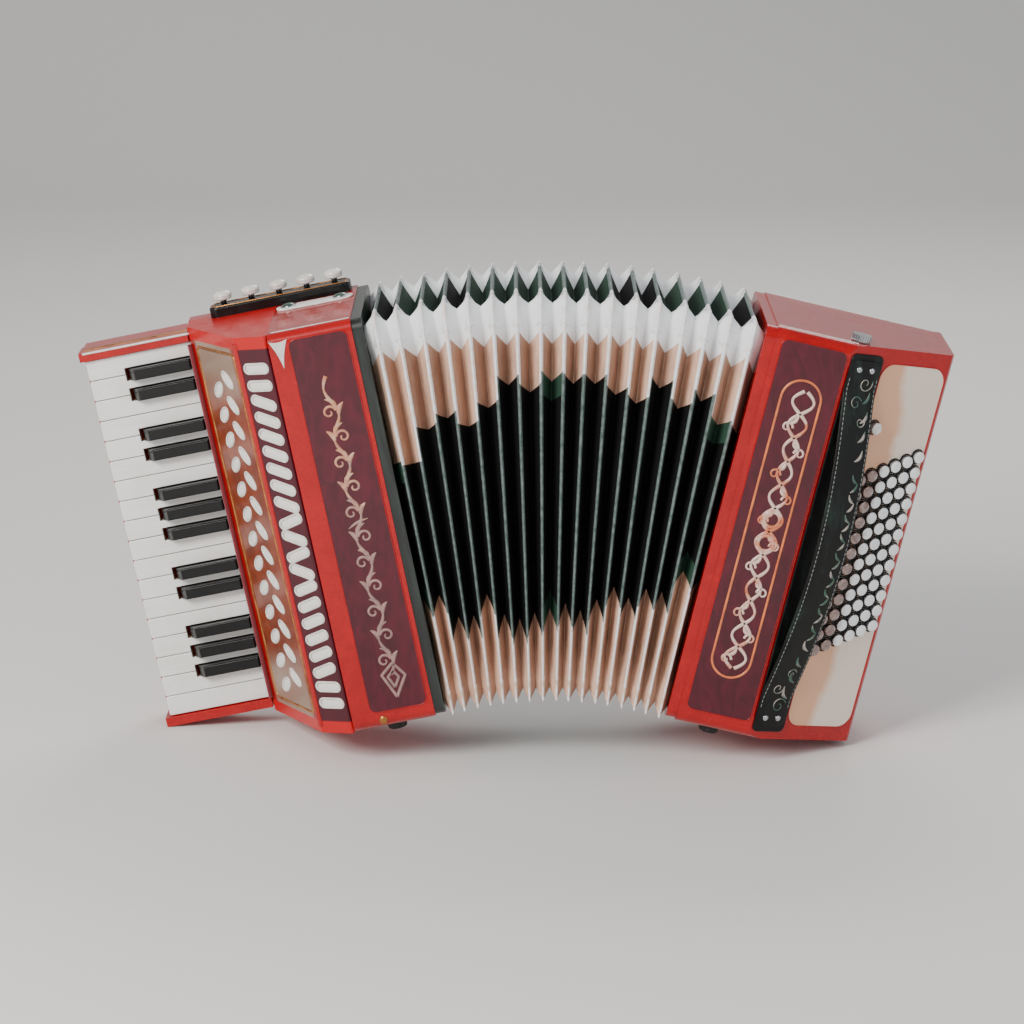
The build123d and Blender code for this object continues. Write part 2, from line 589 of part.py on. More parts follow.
BASS_BOARD_X = BASS_OUT - 20  # middle of the board that carries the bass reed blocks
BASS_BLOCK_WIDE, BASS_BLOCK_TALL = 18.0, 240.0
BASS_BLOCK_X = BASS_BOARD_X - SOUNDBOARD_THICK / 2 - REED_BLOCK_DEEP / 2
with BuildPart() as bass_reed_block:
    with Locations((BASS_BOARD_X, 0, HEIGHT / 2)):
        Box(SOUNDBOARD_THICK, DEPTH - 2 * WALL - 0.4, HEIGHT - 2 * WALL - 0.4)
    with Locations(*[(BASS_BLOCK_X, y, HEIGHT / 2) for y in (-40, 0, 40)]):
        Box(REED_BLOCK_DEEP, BASS_BLOCK_WIDE, BASS_BLOCK_TALL)
keep(bass_reed_block.part, "bass_reed_block", "bass")

RACK_TALL, RACK_POST, RACK_DEEP, RACK_LEVER_DEEP = 250.0, 3.0, 16.0, 8.0
RACK_POSTS = (BOARD_MID - 28, BOARD_MID + 22)
LEVER_HEIGHTS = [BUTTONS_MID + (row - (BASS_ROWS - 1) / 2) * ROW_PITCH for row in range(BASS_ROWS)]
with BuildPart() as bass_lever_rack:
    with BuildSketch(END_FACE.offset(-2 * BUTTON_SUNK)):
        with Locations(*[(x, BUTTONS_MID) for x in RACK_POSTS]):
            Rectangle(RACK_POST, RACK_TALL)
    extrude(amount=-RACK_DEEP)
    with BuildSketch(END_FACE.offset(-2 * BUTTON_SUNK - 4)):
        with Locations(*[(sum(RACK_POSTS) / 2, height) for height in LEVER_HEIGHTS]):
            Rectangle(RACK_POSTS[1] - RACK_POSTS[0], RACK_POST)
    extrude(amount=-RACK_LEVER_DEEP)
keep(bass_lever_rack.part, "bass_lever_rack", "bass")
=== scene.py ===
import json
import math

import bpy
import numpy as np
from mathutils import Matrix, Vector


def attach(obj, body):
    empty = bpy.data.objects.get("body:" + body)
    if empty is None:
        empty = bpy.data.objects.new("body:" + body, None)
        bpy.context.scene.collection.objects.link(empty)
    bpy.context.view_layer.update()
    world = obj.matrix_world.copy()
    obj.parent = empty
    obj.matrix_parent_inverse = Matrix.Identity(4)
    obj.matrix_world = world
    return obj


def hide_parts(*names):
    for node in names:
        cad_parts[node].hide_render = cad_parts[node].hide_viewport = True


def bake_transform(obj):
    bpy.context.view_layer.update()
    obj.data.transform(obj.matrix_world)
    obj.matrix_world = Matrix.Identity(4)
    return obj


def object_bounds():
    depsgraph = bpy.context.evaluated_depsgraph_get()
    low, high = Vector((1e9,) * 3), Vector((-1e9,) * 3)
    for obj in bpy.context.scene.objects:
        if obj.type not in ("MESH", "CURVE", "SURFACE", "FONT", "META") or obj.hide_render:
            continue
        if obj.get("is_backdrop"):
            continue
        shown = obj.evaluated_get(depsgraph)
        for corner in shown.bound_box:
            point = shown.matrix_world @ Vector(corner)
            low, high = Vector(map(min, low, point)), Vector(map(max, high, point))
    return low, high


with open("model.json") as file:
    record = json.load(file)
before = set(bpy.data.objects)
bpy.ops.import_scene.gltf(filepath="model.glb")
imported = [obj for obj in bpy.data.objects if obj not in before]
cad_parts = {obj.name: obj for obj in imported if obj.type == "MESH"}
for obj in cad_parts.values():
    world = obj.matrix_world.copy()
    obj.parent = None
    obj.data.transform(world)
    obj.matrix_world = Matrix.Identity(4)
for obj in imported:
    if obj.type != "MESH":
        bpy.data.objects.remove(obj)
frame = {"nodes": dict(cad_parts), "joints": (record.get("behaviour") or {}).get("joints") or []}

cad_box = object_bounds()
joints = {joint["name"]: joint for joint in frame["joints"]}


# ---------------------------------------------------------------- camera
# A long lens at table height, looking slightly down at the front of the standing accordion.
low, high = (Vector(corner) for corner in cad_box)
middle = (low + high) / 2
CAMERA_RISE = math.radians(15)
CAMERA_AWAY = 3.2
lens = bpy.data.cameras.new("camera")
lens.lens = 115
camera = bpy.data.objects.new("camera", lens)
bpy.context.collection.objects.link(camera)
gaze = Vector((0, math.cos(CAMERA_RISE), -math.sin(CAMERA_RISE)))
camera.location = middle - gaze * CAMERA_AWAY
camera.rotation_euler = gaze.to_track_quat("-Z", "Y").to_euler()
bpy.context.scene.camera = camera


# ---------------------------------------------------------------- studio
# A pale floor that curves up far behind, one large soft key from the front left, a fill and a rim light.
class Shade:
    """A socket of a finish. Sums and products of shades add the Math nodes that work them out."""

    def __init__(self, finish, socket):
        self.finish = finish
        self.socket = socket

    def maths(self, operation, *others):
        values = {index: other for index, other in enumerate((self, *others))}
        return self.finish.node("ShaderNodeMath", {"operation": operation}, values)

    def __add__(self, other):
        return self.maths("ADD", other)

    def __sub__(self, other):
        return self.maths("SUBTRACT", other)

    def __mul__(self, other):
        return self.maths("MULTIPLY", other)

    def __truediv__(self, other):
        return self.maths("DIVIDE", other)

    def __radd__(self, other):
        return self.maths("ADD", other)

    def __rmul__(self, other):
        return self.maths("MULTIPLY", other)

    def __rsub__(self, other):
        return self.finish.node("ShaderNodeMath", {"operation": "SUBTRACT"}, {0: other, 1: self})

    def __gt__(self, other):
        return self.maths("GREATER_THAN", other)

    def __lt__(self, other):
        return self.maths("LESS_THAN", other)


class Finish:
    """A material made of nodes, around one Principled shader whose constants are given by socket name."""

    def __init__(self, name, constants):
        self.material = bpy.data.materials.new(name)
        self.material.use_nodes = True
        self.tree = self.material.node_tree
        self.shader = self.tree.nodes["Principled BSDF"]
        for socket, value in constants.items():
            self.shader.inputs[socket].default_value = value

    def node(self, kind, settings=None, values=None, output=0):
        """Adds a node: its settings first, then the values or links of its sockets. Returns one output."""
        made = self.tree.nodes.new(kind)
        for setting, value in (settings or {}).items():
            setattr(made, setting, value)
        for socket, value in (values or {}).items():
            if isinstance(value, Shade):
                self.tree.links.new(value.socket, made.inputs[socket])
            else:
                made.inputs[socket].default_value = value
        return Shade(self, made.outputs[output])

    def place(self, turn=(0, 0, 0), scale=(1, 1, 1)):
        """Object coordinates, turned and scaled by a Mapping node."""
        raw = self.node("ShaderNodeTexCoord", output="Object")
        return self.node("ShaderNodeMapping", {}, {"Vector": raw, "Rotation": turn, "Scale": scale})

    def noise(self, where, scale, detail=3.0, rough=0.5, bend=0.0):
        values = {"Vector": where, "Scale": scale, "Detail": detail, "Roughness": rough, "Distortion": bend}
        return self.node("ShaderNodeTexNoise", {}, values)

    def cells(self, where, scale, feature="F1"):
        values = {"Vector": where, "Scale": scale}
        return self.node("ShaderNodeTexVoronoi", {"feature": feature}, values, "Distance")

    def blend(self, amount, first, second):
        """The first colour where amount is 0, the second where it is 1."""
        first, second = (c if isinstance(c, Shade) else (*c, 1) for c in (first, second))
        return self.node("ShaderNodeMix", {"data_type": "RGBA"}, {0: amount, 6: first, 7: second}, 2)

    def limit(self, amount, bottom, top):
        """Amount stretched so that bottom gives 0 and top gives 1, and cut off there."""
        values = {"Value": amount, "From Min": bottom, "From Max": top}
        return self.node("ShaderNodeMapRange", {"clamp": True}, values)

    def axis(self, where, number):
        """One coordinate of a place: 0 for X, 1 for Y, 2 for Z."""
        return self.node("ShaderNodeSeparateXYZ", {}, {"Vector": where}, number)

    def two_tone(self, amount, bottom, top, first, second):
        """Base colour from the first to the second as amount goes from bottom to top."""
        self.feed("Base Color", self.blend(self.limit(amount, bottom, top), first, second))

    def bump(self, height, strength, distance):
        values = {"Height": height, "Strength": strength, "Distance": distance}
        self.feed("Normal", self.node("ShaderNodeBump", {}, values))

    def feed(self, socket, shade):
        self.tree.links.new(shade.socket, self.shader.inputs[socket])


def surface(name, grid, finish, wrap_u=False, wrap_v=False, uv=None):
    """A mesh through a grid of points, rows by columns. wrap_u joins the last row to the first, wrap_v the
    last column to the first. Each quad joins a point to its neighbours in the next row and column. uv has one
    pair for each point, and one row or column more on a side that wraps."""
    rows, columns = grid.shape[:2]
    number = np.arange(rows * columns).reshape(rows, columns)
    if wrap_u:
        number = np.vstack([number, number[:1]])
    if wrap_v:
        number = np.hstack([number, number[:, :1]])
    made = mesh_object(name, grid.reshape(-1, 3), quads_of(number), finish)
    if uv is not None:
        pair = np.arange(uv.shape[0] * uv.shape[1]).reshape(uv.shape[:2])
        layer = made.data.uv_layers.new(name="surface")
        layer.data.foreach_set("uv", uv.reshape(-1, 2)[quads_of(pair).ravel()].ravel())
    return made


def quads_of(number):
    """The quads between neighbouring rows and columns of a grid of numbers."""
    return np.stack([number[:-1, :-1], number[:-1, 1:], number[1:, 1:], number[1:, :-1]], -1).reshape(-1, 4)


def mesh_object(name, points, faces, finish):
    """A smooth object at the origin made of these points and faces, with one finish."""
    mesh = bpy.data.meshes.new(name)
    mesh.from_pydata(np.asarray(points, float).tolist(), [], np.asarray(faces).tolist())
    mesh.polygons.foreach_set("use_smooth", [True] * len(mesh.polygons))
    mesh.materials.append(finish.material)
    made = bpy.data.objects.new(name, mesh)
    bpy.context.collection.objects.link(made)
    return made


FLOOR_HALF, FLOOR_FAR, SWEEP = 6.0, 3.2, 1.2
floor_finish = Finish("studio_floor", {"Base Color": (0.80, 0.79, 0.77, 1), "Roughness": 0.85})
across = np.linspace(-FLOOR_HALF, FLOOR_HALF, 3)
bend = np.linspace(0, math.pi / 2, 24)
run_y = np.concatenate([[-FLOOR_HALF], FLOOR_FAR + SWEEP * np.sin(bend), [FLOOR_FAR + SWEEP]])
run_z = np.concatenate([[0], SWEEP * (1 - np.cos(bend)), [4.5]])
floor_grid = np.stack(np.broadcast_arrays(across[None, :], run_y[:, None], run_z[:, None]), -1)
studio_floor = surface("studio_floor", floor_grid, floor_finish)
studio_floor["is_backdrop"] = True

for name, place, wide, watts, tint in (
    ("key_light", (-1.8, -2.2, 2.0), 1.3, 122, (1.0, 0.97, 0.93)),
    ("fill_light", (2.4, -1.9, 1.0), 1.6, 20, (0.93, 0.96, 1.0)),
    ("rim_light", (0.5, 2.0, 2.3), 1.4, 34, (1.0, 0.98, 0.96)),
):
    lamp = bpy.data.lights.new(name, "AREA")
    lamp.size = wide
    lamp.energy = watts
    lamp.color = tint
    light = bpy.data.objects.new(name, lamp)
    bpy.context.collection.objects.link(light)
    light.location = place
    light.rotation_euler = (middle - Vector(place)).to_track_quat("-Z", "Y").to_euler()

world = bpy.data.worlds.new("studio_air")
world.use_nodes = True
world.node_tree.nodes["Background"].inputs["Color"].default_value = (0.86, 0.88, 0.92, 1)
world.node_tree.nodes["Background"].inputs["Strength"].default_value = 0.42
bpy.context.scene.world = world


# ---------------------------------------------------------------- treble casing
# A thin wooden box, open towards the bellows, wrapped in polished red celluloid. Its front carries a
# wine-coloured pearl panel inside a fine gilt bead, glued into the red border.
FAN_AXIS = np.array(joints["bellows_fan"]["pos_m"])
down = joints["register_1_press"]["axis"]
spin = joints["strap_wheel_turn"]["axis"]
TREBLE_TILT = math.atan2(-down[0], -down[2])
BASS_TILT = math.atan2(spin[0], spin[2])


def swing(points, tilt):
    """Points turned about the level Y axis: x cos + z sin, y, z cos - x sin."""
    x, y, z = np.moveaxis(np.asarray(points, float), -1, 0)
    c, s = math.cos(tilt), math.sin(tilt)
    return np.stack([x * c + z * s, y, z * c - x * s], -1)


def upright_box(node, tilt):
    """A CAD node's lowest and highest corners in its half's upright frame, from the fan axis."""
    mesh = frame["nodes"][node].data
    points = np.zeros(len(mesh.vertices) * 3)
    mesh.vertices.foreach_get("co", points)
    points = swing(points.reshape(-1, 3) - FAN_AXIS, -tilt)
    return points.min(0), points.max(0)


treble_low, treble_high = upright_box("treble_case", TREBLE_TILT)
bass_low, bass_high = upright_box("bass_case", BASS_TILT)
UNDERSIDE = treble_low[2]
HEIGHT = treble_high[2] - treble_low[2]
FRONT, BACK = treble_low[1], treble_high[1]
TREBLE_OUT, TREBLE_IN = treble_low[0], treble_high[0]


def stand(points, tilt):
    """Points of an upright half, Z counted from its underside, as it stands in the row frame."""
    return swing(np.asarray(points, float) + (0, 0, UNDERSIDE), tilt) + FAN_AXIS


def upright_place(finish, tilt, scale=(1, 1, 1), turn=0):
    """Object coordinates brought back to a half's upright frame, then turned about Z and scaled."""
    raw = finish.node("ShaderNodeTexCoord", output="Object")
    shift = Vector((-swing(FAN_AXIS, -tilt) - (0, 0, UNDERSIDE)).tolist())
    back = {"Vector": raw, "Rotation": (0, -tilt, 0), "Location": shift}
    level = finish.node("ShaderNodeMapping", {}, back)
    return finish.node("ShaderNodeMapping", {}, {"Vector": level, "Rotation": (0, 0, turn), "Scale": scale})


class Face:
    """A flat face of a half: a corner, a direction along it, a direction up it and one out of it."""

    def __init__(self, corner, along, up, tilt):
        self.corner, self.along, self.up = (np.array(v, float) for v in (corner, along, up))
        self.out = np.cross(self.along, self.up)
        self.tilt = tilt

    def points(self, along, up, out):
        along, up, out = np.broadcast_arrays(along, up, out)
        parts = zip((along, up, out), (self.along, self.up, self.out))
        return stand(self.corner + sum(amount[..., None] * way for amount, way in parts), self.tilt)


def ink(red, green, blue):
    """A colour given as screen values from 0 to 255, as linear light."""
    shares = (value / 255 for value in (red, green, blue))
    return tuple(share / 12.92 if share < 0.043 else ((share + 0.055) / 1.055) ** 2.4 for share in shares)


def rounded_outline(wide, tall, radius, steps=8):
    """The corners of a rectangle as arcs, anticlockwise, centred on the origin."""
    arc = np.linspace(0, math.pi / 2, steps)
    turns = (arc[None, :] + np.arange(4)[:, None] * math.pi / 2).ravel()
    corner = (wide / 2 - radius, tall / 2 - radius)
    centre = np.repeat([[1, 1], [-1, 1], [-1, -1], [1, -1]], steps, 0) * corner
    return centre + radius * np.stack([np.cos(turns), np.sin(turns)], -1)


def outline_normals(outline):
    """Unit normals of a closed anticlockwise outline, outwards: the tangent turned by a right angle."""
    tangent = np.roll(outline, -1, 0) - np.roll(outline, 1, 0)
    normal = np.stack([tangent[:, 1], -tangent[:, 0]], -1)
    return normal / np.linalg.norm(normal, axis=1, keepdims=True)


def plate(name, face, outline, thick, bevel, finish, sunk=0.001):
    """A plate lying on a face: its outline rises to thick less the bevel, then leans in by the bevel to the
    flat top. It starts a little below the face and is closed underneath."""
    lean_in = outline - outline_normals(outline) * bevel
    half_in = outline - outline_normals(outline) * bevel * 0.3
    rings = [(outline, -sunk), (outline, thick - bevel), (half_in, thick - bevel * 0.3), (lean_in, thick)]
    points = np.concatenate([face.points(ring[:, 0], ring[:, 1], up) for ring, up in rings])
    count = len(outline)
    around = np.arange(count)
    faces = []
    for ring in range(len(rings) - 1):
        start = ring * count
        sides = np.stack([start + around, start + (around + 1) % count], -1)
        faces += np.hstack([sides, sides[:, ::-1] + count]).tolist()
    faces.append((around + (len(rings) - 1) * count).tolist())
    faces.append(around[::-1].tolist())
    mesh = bpy.data.meshes.new(name)
    mesh.from_pydata(points.tolist(), [], faces)
    mesh.materials.append(finish.material)
    made = bpy.data.objects.new(name, mesh)
    bpy.context.collection.objects.link(made)
    return made


def beads(name, face, paths, finish, closed=False, columns=10):
    """Raised lines on a face. Each path is points along it with a width and a height for each: the section is
    an ellipse, width across and twice height through the face, carried along the path."""
    points, faces, start = [], [], 0
    phase = np.linspace(0, 2 * math.pi, columns, endpoint=False)
    for line, wide, tall in paths:
        line = np.asarray(line, float)
        step = (np.roll(line, -1, 0) - np.roll(line, 1, 0)) if closed else np.gradient(line, axis=0)
        step /= np.maximum(np.linalg.norm(step, axis=1, keepdims=True), 1e-9)
        side = np.stack([step[:, 1], -step[:, 0]], -1)
        wide = np.broadcast_to(wide, len(line))[:, None]
        tall = np.broadcast_to(tall, len(line))[:, None]
        across = wide / 2 * np.cos(phase)
        flat = line[:, None, :] + side[:, None, :] * across[..., None]
        points.append(face.points(flat[..., 0], flat[..., 1], tall * np.sin(phase)).reshape(-1, 3))
        number = start + np.arange(len(line) * columns).reshape(len(line), columns)
        if closed:
            number = np.vstack([number, number[:1]])
        number = np.hstack([number, number[:, :1]])
        faces.append(quads_of(number)[:, ::-1])
        start += len(line) * columns
    return mesh_object(name, np.concatenate(points), np.concatenate(faces), finish)


def paint(node, finish):
    """Gives a CAD node this finish."""
    slots = frame["nodes"][node].data.materials
    slots.clear()
    slots.append(finish.material)


RED = ink(190, 0, 6)
RED_DEEP = ink(146, 0, 4)
red_celluloid = Finish("red_celluloid", {"Coat Weight": 0.35, "Coat Roughness": 0.05, "IOR": 1.4})
where = red_celluloid.place()
cloud = red_celluloid.noise(where, 22, 5, 0.55, 1.6)
flake = red_celluloid.cells(where, 420)
tone = red_celluloid.limit(cloud * 0.8 + flake * 0.35, 0.25, 0.95)
red_celluloid.feed("Base Color", red_celluloid.blend(tone, RED_DEEP, RED))
handled = red_celluloid.noise(where, 9, 4, 0.6)
red_celluloid.feed("Roughness", red_celluloid.limit(handled, 0.35, 0.75) * 0.12 + 0.20)
red_celluloid.bump(red_celluloid.noise(where, 60, 2), 0.04, 0.001)

WINE = ink(78, 5, 26)
WINE_DEEP = ink(64, 4, 20)
WINE_PEARL = ink(92, 9, 34)
wine_pearl = Finish("wine_pearl", {"Coat Weight": 0.4, "Coat Roughness": 0.05, "IOR": 1.4})
where = wine_pearl.place(scale=(1, 1, 0.45))
swirl = wine_pearl.noise(where, 55, 4, 0.5, 2.5)
pearl = wine_pearl.cells(where, 130, "SMOOTH_F1")
depth = wine_pearl.blend(wine_pearl.limit(swirl, 0.3, 0.7), WINE_DEEP, WINE)
glint = wine_pearl.limit(pearl * swirl, 0.12, 0.42) * 0.6
wine_pearl.feed("Base Color", wine_pearl.blend(glint, depth, WINE_PEARL))
wine_pearl.feed("Roughness", wine_pearl.limit(swirl, 0.2, 0.8) * 0.14 + 0.14)
wine_pearl.bump(pearl, 0.05, 0.0008)

GILT = ink(214, 148, 84)
GILT_DARK = ink(122, 70, 34)
gilt = Finish("gilt_trim", {"Metallic": 0.85, "IOR": 1.5})
where = gilt.place()
tarnish = gilt.noise(where, 70, 5, 0.6)
gilt.two_tone(tarnish, 0.35, 0.75, GILT, GILT_DARK)
gilt.feed("Roughness", gilt.limit(tarnish, 0.3, 0.8) * 0.25 + 0.22)
gilt.bump(gilt.noise(where, 900, 2), 0.08, 0.0004)

paint("treble_case", red_celluloid)

COLUMN_WIDE = 0.019          # red corner beside the grille
PANEL_MARGIN = 0.005         # red border beside the bellows
PANEL_TOP, PANEL_FOOT = 0.008, 0.017
PANEL_ROUND, PANEL_THICK, PANEL_BEVEL = 0.007, 0.0008, 0.0005
BEAD_WIDE, BEAD_TALL = 0.0011, 0.0012
treble_front = Face((TREBLE_OUT, FRONT, 0), (1, 0, 0), (0, 0, 1), TREBLE_TILT)
PANEL_WIDE = TREBLE_IN - TREBLE_OUT - COLUMN_WIDE - PANEL_MARGIN
PANEL_TALL = HEIGHT - PANEL_TOP - PANEL_FOOT
PANEL_CENTRE = np.array([COLUMN_WIDE + PANEL_WIDE / 2, PANEL_FOOT + PANEL_TALL / 2])
panel_edge = rounded_outline(PANEL_WIDE, PANEL_TALL, PANEL_ROUND) + PANEL_CENTRE
panel = plate("treble_front_panel", treble_front, panel_edge, PANEL_THICK, PANEL_BEVEL, wine_pearl)
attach(panel, "treble")
bead_path = [(panel_edge, BEAD_WIDE, BEAD_TALL)]
bead = beads("treble_panel_bead", treble_front, bead_path, red_celluloid, closed=True)
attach(bead, "treble")

# The white pearl triangle let into the top of the red corner, its sides hollowed.
PEARL = ink(236, 232, 226)
PEARL_GREY = ink(196, 190, 184)
white_pearl = Finish("white_pearl", {"Coat Weight": 0.6, "Coat Roughness": 0.08, "IOR": 1.5})
where = white_pearl.place()
nacre = white_pearl.noise(where, 90, 4, 0.5, 2.0)
white_pearl.two_tone(nacre, 0.3, 0.8, PEARL, PEARL_GREY)
white_pearl.feed("Roughness", white_pearl.limit(nacre, 0.2, 0.8) * 0.15 + 0.18)
white_pearl.bump(white_pearl.cells(where, 300), 0.05, 0.0005)
side = np.linspace(0, 1, 12, endpoint=False)
HOLLOW = 0.0014
corners = np.array([[0.0185, HEIGHT - 0.0065], [0.0010, HEIGHT - 0.0065], [0.0105, HEIGHT - 0.034]])
triangle = []
for start, stop in zip(corners, np.roll(corners, -1, 0)):
    inward = corners.mean(0) - (start + stop) / 2
    inward = inward / np.linalg.norm(inward) * HOLLOW
    triangle.append(start + (stop - start) * side[:, None] + inward * np.sin(math.pi * side)[:, None])
inlay = plate("corner_inlay", treble_front, np.concatenate(triangle), 0.0006, 0.0003, white_pearl)
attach(inlay, "treble")


# A painted scroll climbs the treble panel: a waving stem with a curl and two leaves at each bend, a slanting
# stroke at half height and a pointed lozenge at the foot.
SCROLL_FOOT, SCROLL_TOP, SCROLL_BEND, SCROLL_SWING = 0.052, 0.352, 0.050, 0.0046
scroll_paint = Finish("scroll_paint", {"Coat Weight": 0.4, "Coat Roughness": 0.12})
level = scroll_paint.axis(upright_place(scroll_paint, TREBLE_TILT), 2)
smear = scroll_paint.noise(scroll_paint.place(), 75, 4, 0.6)
gold_part = scroll_paint.limit(level / HEIGHT + (smear - 0.5) * 1.4, 0.50, 0.72)
worn_share = scroll_paint.limit(smear, 0.4, 0.6)
taupe_paint = scroll_paint.blend(worn_share, ink(168, 130, 122), ink(138, 108, 104))
worn_share = scroll_paint.limit(smear, 0.35, 0.65)
gold_paint = scroll_paint.blend(worn_share, ink(196, 106, 62), ink(206, 168, 142))
scroll_paint.feed("Base Color", scroll_paint.blend(gold_part, taupe_paint, gold_paint))
scroll_paint.feed("Roughness", smear * 0.3 + 0.25)
scroll_paint.bump(smear, 0.1, 0.0004)


def curl(centre, radius, start, turns, hand, wide, tall=0.0007):
    """A spiral stroke: its radius shrinks evenly to a fifth as it turns, and its width tapers with it."""
    share = np.linspace(0, 1, 22)
    angle = start + hand * turns * 2 * math.pi * share
    reach = radius * (1 - 0.8 * share)
    line = np.array(centre) + reach[:, None] * np.stack([np.cos(angle), np.sin(angle)], -1)
    return line, wide * (1 - 0.45 * share), tall


def leaf_stroke(start, stop, bow, wide, tall=0.0008):
    """A leaf from start to stop: it bows sideways as a half sine, and its width swells as a half sine."""
    share = np.linspace(0, 1, 12)[:, None]
    start, stop = np.array(start), np.array(stop)
    side = np.array([-(stop - start)[1], (stop - start)[0]])
    line = start + (stop - start) * share + side * bow * np.sin(math.pi * share)
    return line, wide * np.sin(math.pi * np.clip(share[:, 0], 0.03, 0.97)) ** 0.7, tall


stem_z = np.linspace(SCROLL_FOOT, SCROLL_TOP, 120)
stem_phase = (stem_z - SCROLL_FOOT) / SCROLL_BEND * 2 * math.pi
middle_x = PANEL_CENTRE[0]
stem = np.stack([middle_x + SCROLL_SWING * np.sin(stem_phase), stem_z], -1)
strokes = [(stem, 0.0032 + 0.0010 * np.cos(stem_phase * 2), 0.0009)]
bends = int((SCROLL_TOP - SCROLL_FOOT) / SCROLL_BEND * 2)
for bend_number in range(bends):
    z = SCROLL_FOOT + (bend_number + 0.5) * SCROLL_BEND / 2
    hand = 1 if bend_number % 2 == 0 else -1
    x = middle_x + hand * SCROLL_SWING
    first_angle = 0.2 if hand > 0 else math.pi - 0.2
    tip, other_root, other_tip = (
        (x + hand * side, z + rise) for side, rise in ((0.0062, 0.0100), (-0.001, 0.004), (-0.0105, 0.0155))
    )
    strokes.append(curl((x - hand * 0.0086, z + 0.0022), 0.0068, first_angle, 1.1, hand, 0.0030))
    strokes.append(leaf_stroke((x, z - 0.003), tip, 0.16 * hand, 0.0050))
    strokes.append(leaf_stroke(other_root, other_tip, -0.2 * hand, 0.0044))
half_way = (SCROLL_FOOT + SCROLL_TOP) / 2 + 0.006
ring_start, ring_stop = (middle_x - 0.010, half_way - 0.006), (middle_x + 0.010, half_way + 0.001)
strokes.append(leaf_stroke(ring_start, ring_stop, 0.06, 0.0030))
for size, wide in ((0.0140, 0.0032), (0.0066, 0.0030)):
    lozenge = np.array([[0, -1.35], [0.85, 0.1], [0.15, 1.1], [-0.75, 0.35], [0, -1.35]]) * size
    step = np.linspace(0, 1, 7)[:-1, None]
    fine = np.concatenate([a + (b - a) * step for a, b in zip(lozenge, lozenge[1:])])
    closed_line = np.vstack([fine, lozenge[:1]]) + (middle_x + 0.001, SCROLL_FOOT - 0.004)
    strokes.append((closed_line, wide, 0.0009))
skin_corner = treble_front.corner + treble_front.out * PANEL_THICK
panel_skin = Face(skin_corner, (1, 0, 0), (0, 0, 1), TREBLE_TILT)
scroll = beads("treble_scroll", panel_skin, strokes, scroll_paint, columns=6)
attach(scroll, "treble")


# ---------------------------------------------------------------- keyboard
# A red celluloid bed with a cheek at each end carries eighteen white and twelve black keys on one steel axle.
# Each key is a limewood lever with a moulded top. A gilt line finishes the upper cheek, and a white pearl
# line along its top edge is a painted highlight on that edge.
paint("keyboard_bed", red_celluloid)
bed_low = upright_box("keyboard_bed", TREBLE_TILT)[0]
CHEEK_PROUD = 0.004
KEY_TOP = bed_low[1] + CHEEK_PROUD

IVORY = ink(240, 240, 238)
IVORY_AGED = ink(222, 216, 202)
LIME_WOOD = ink(196, 160, 112)
LIME_GRAIN = ink(158, 118, 76)
ivory = Finish("ivory_keys", {"Coat Weight": 0.5, "Coat Roughness": 0.07, "IOR": 1.5})
where = upright_place(ivory, TREBLE_TILT)
depth = ivory.axis(where, 1)
streak = ivory.noise(upright_place(ivory, TREBLE_TILT, (6, 60, 160)), 3, 3, 0.5)
aged = ivory.limit(ivory.noise(where, 30, 4) * 0.6 + streak * 0.4, 0.45, 0.75)
ring = ivory.limit(ivory.noise(upright_place(ivory, TREBLE_TILT, (8, 300, 300)), 2, 4), 0.35, 0.7)
top_colour = ivory.blend(aged * 0.7, IVORY, IVORY_AGED)
lever_colour = ivory.blend(ring, LIME_WOOD, LIME_GRAIN)
TOP_THICK = 0.0045
under = depth > KEY_TOP + TOP_THICK
ivory.feed("Base Color", ivory.blend(under, top_colour, lever_colour))
ivory.feed("Roughness", under * 0.4 + aged * 0.1 + 0.16)
for number in range(1, 19):
    paint(f"white_key_{number:02d}", ivory)

EBONY = ink(6, 6, 8)
EBONY_WORN = ink(24, 26, 26)
ebony = Finish("black_keys", {"Coat Weight": 0.25, "Coat Roughness": 0.06, "IOR": 1.35})
where = upright_place(ebony, TREBLE_TILT, (10, 90, 90))
pores = ebony.noise(where, 3, 4, 0.6)
ebony.two_tone(pores, 0.5, 0.85, EBONY, EBONY_WORN)
ebony.feed("Roughness", ebony.limit(pores, 0.3, 0.8) * 0.15 + 0.16)
ebony.bump(pores, 0.05, 0.0004)
for number in range(1, 13):
    paint(f"black_key_{number:02d}", ebony)

STEEL = ink(188, 190, 194)
STEEL_DULL = ink(140, 142, 146)
bright_steel = Finish("bright_steel", {"Metallic": 1.0})
where = bright_steel.place(scale=(1, 1, 12))
brushed = bright_steel.noise(where, 60, 4, 0.6)
bright_steel.feed("Base Color", bright_steel.blend(brushed, STEEL, STEEL_DULL))
bright_steel.feed("Roughness", bright_steel.limit(brushed, 0.2, 0.8) * 0.18 + 0.16)
paint("key_axle", bright_steel)

CHEEK_THICK = 0.009
first_key_high = upright_box("white_key_01", TREBLE_TILT)[1]
bed_tall = first_key_high[2] - UNDERSIDE + 0.0009 + CHEEK_THICK
cheek_line = np.linspace(bed_low[0] + 0.004, bed_low[0] + 0.118, 24)
cheek_top = Face((0, 0, bed_tall), (1, 0, 0), (0, 1, 0), TREBLE_TILT)
cheek_face = Face((0, bed_low[1], 0), (1, 0, 0), (0, 0, 1), TREBLE_TILT)
gilt_path = np.stack([cheek_line, np.full(24, KEY_TOP + 0.010)], -1)
# Painted highlight: a white pearl line along the cheek's top edge, where the edge catches the light.
highlight_path = np.stack([cheek_line, np.full(24, bed_tall - 0.0012)], -1)
gilt_line = beads("cheek_gilt_line", cheek_top, [(gilt_path, 0.009, 0.0006)], gilt)
highlight_pearl_line = beads("cheek_highlight_line", cheek_face, [(highlight_path, 0.0024, 0.0010)], white_pearl)
for line in (gilt_line, highlight_pearl_line):
    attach(line, "treble")

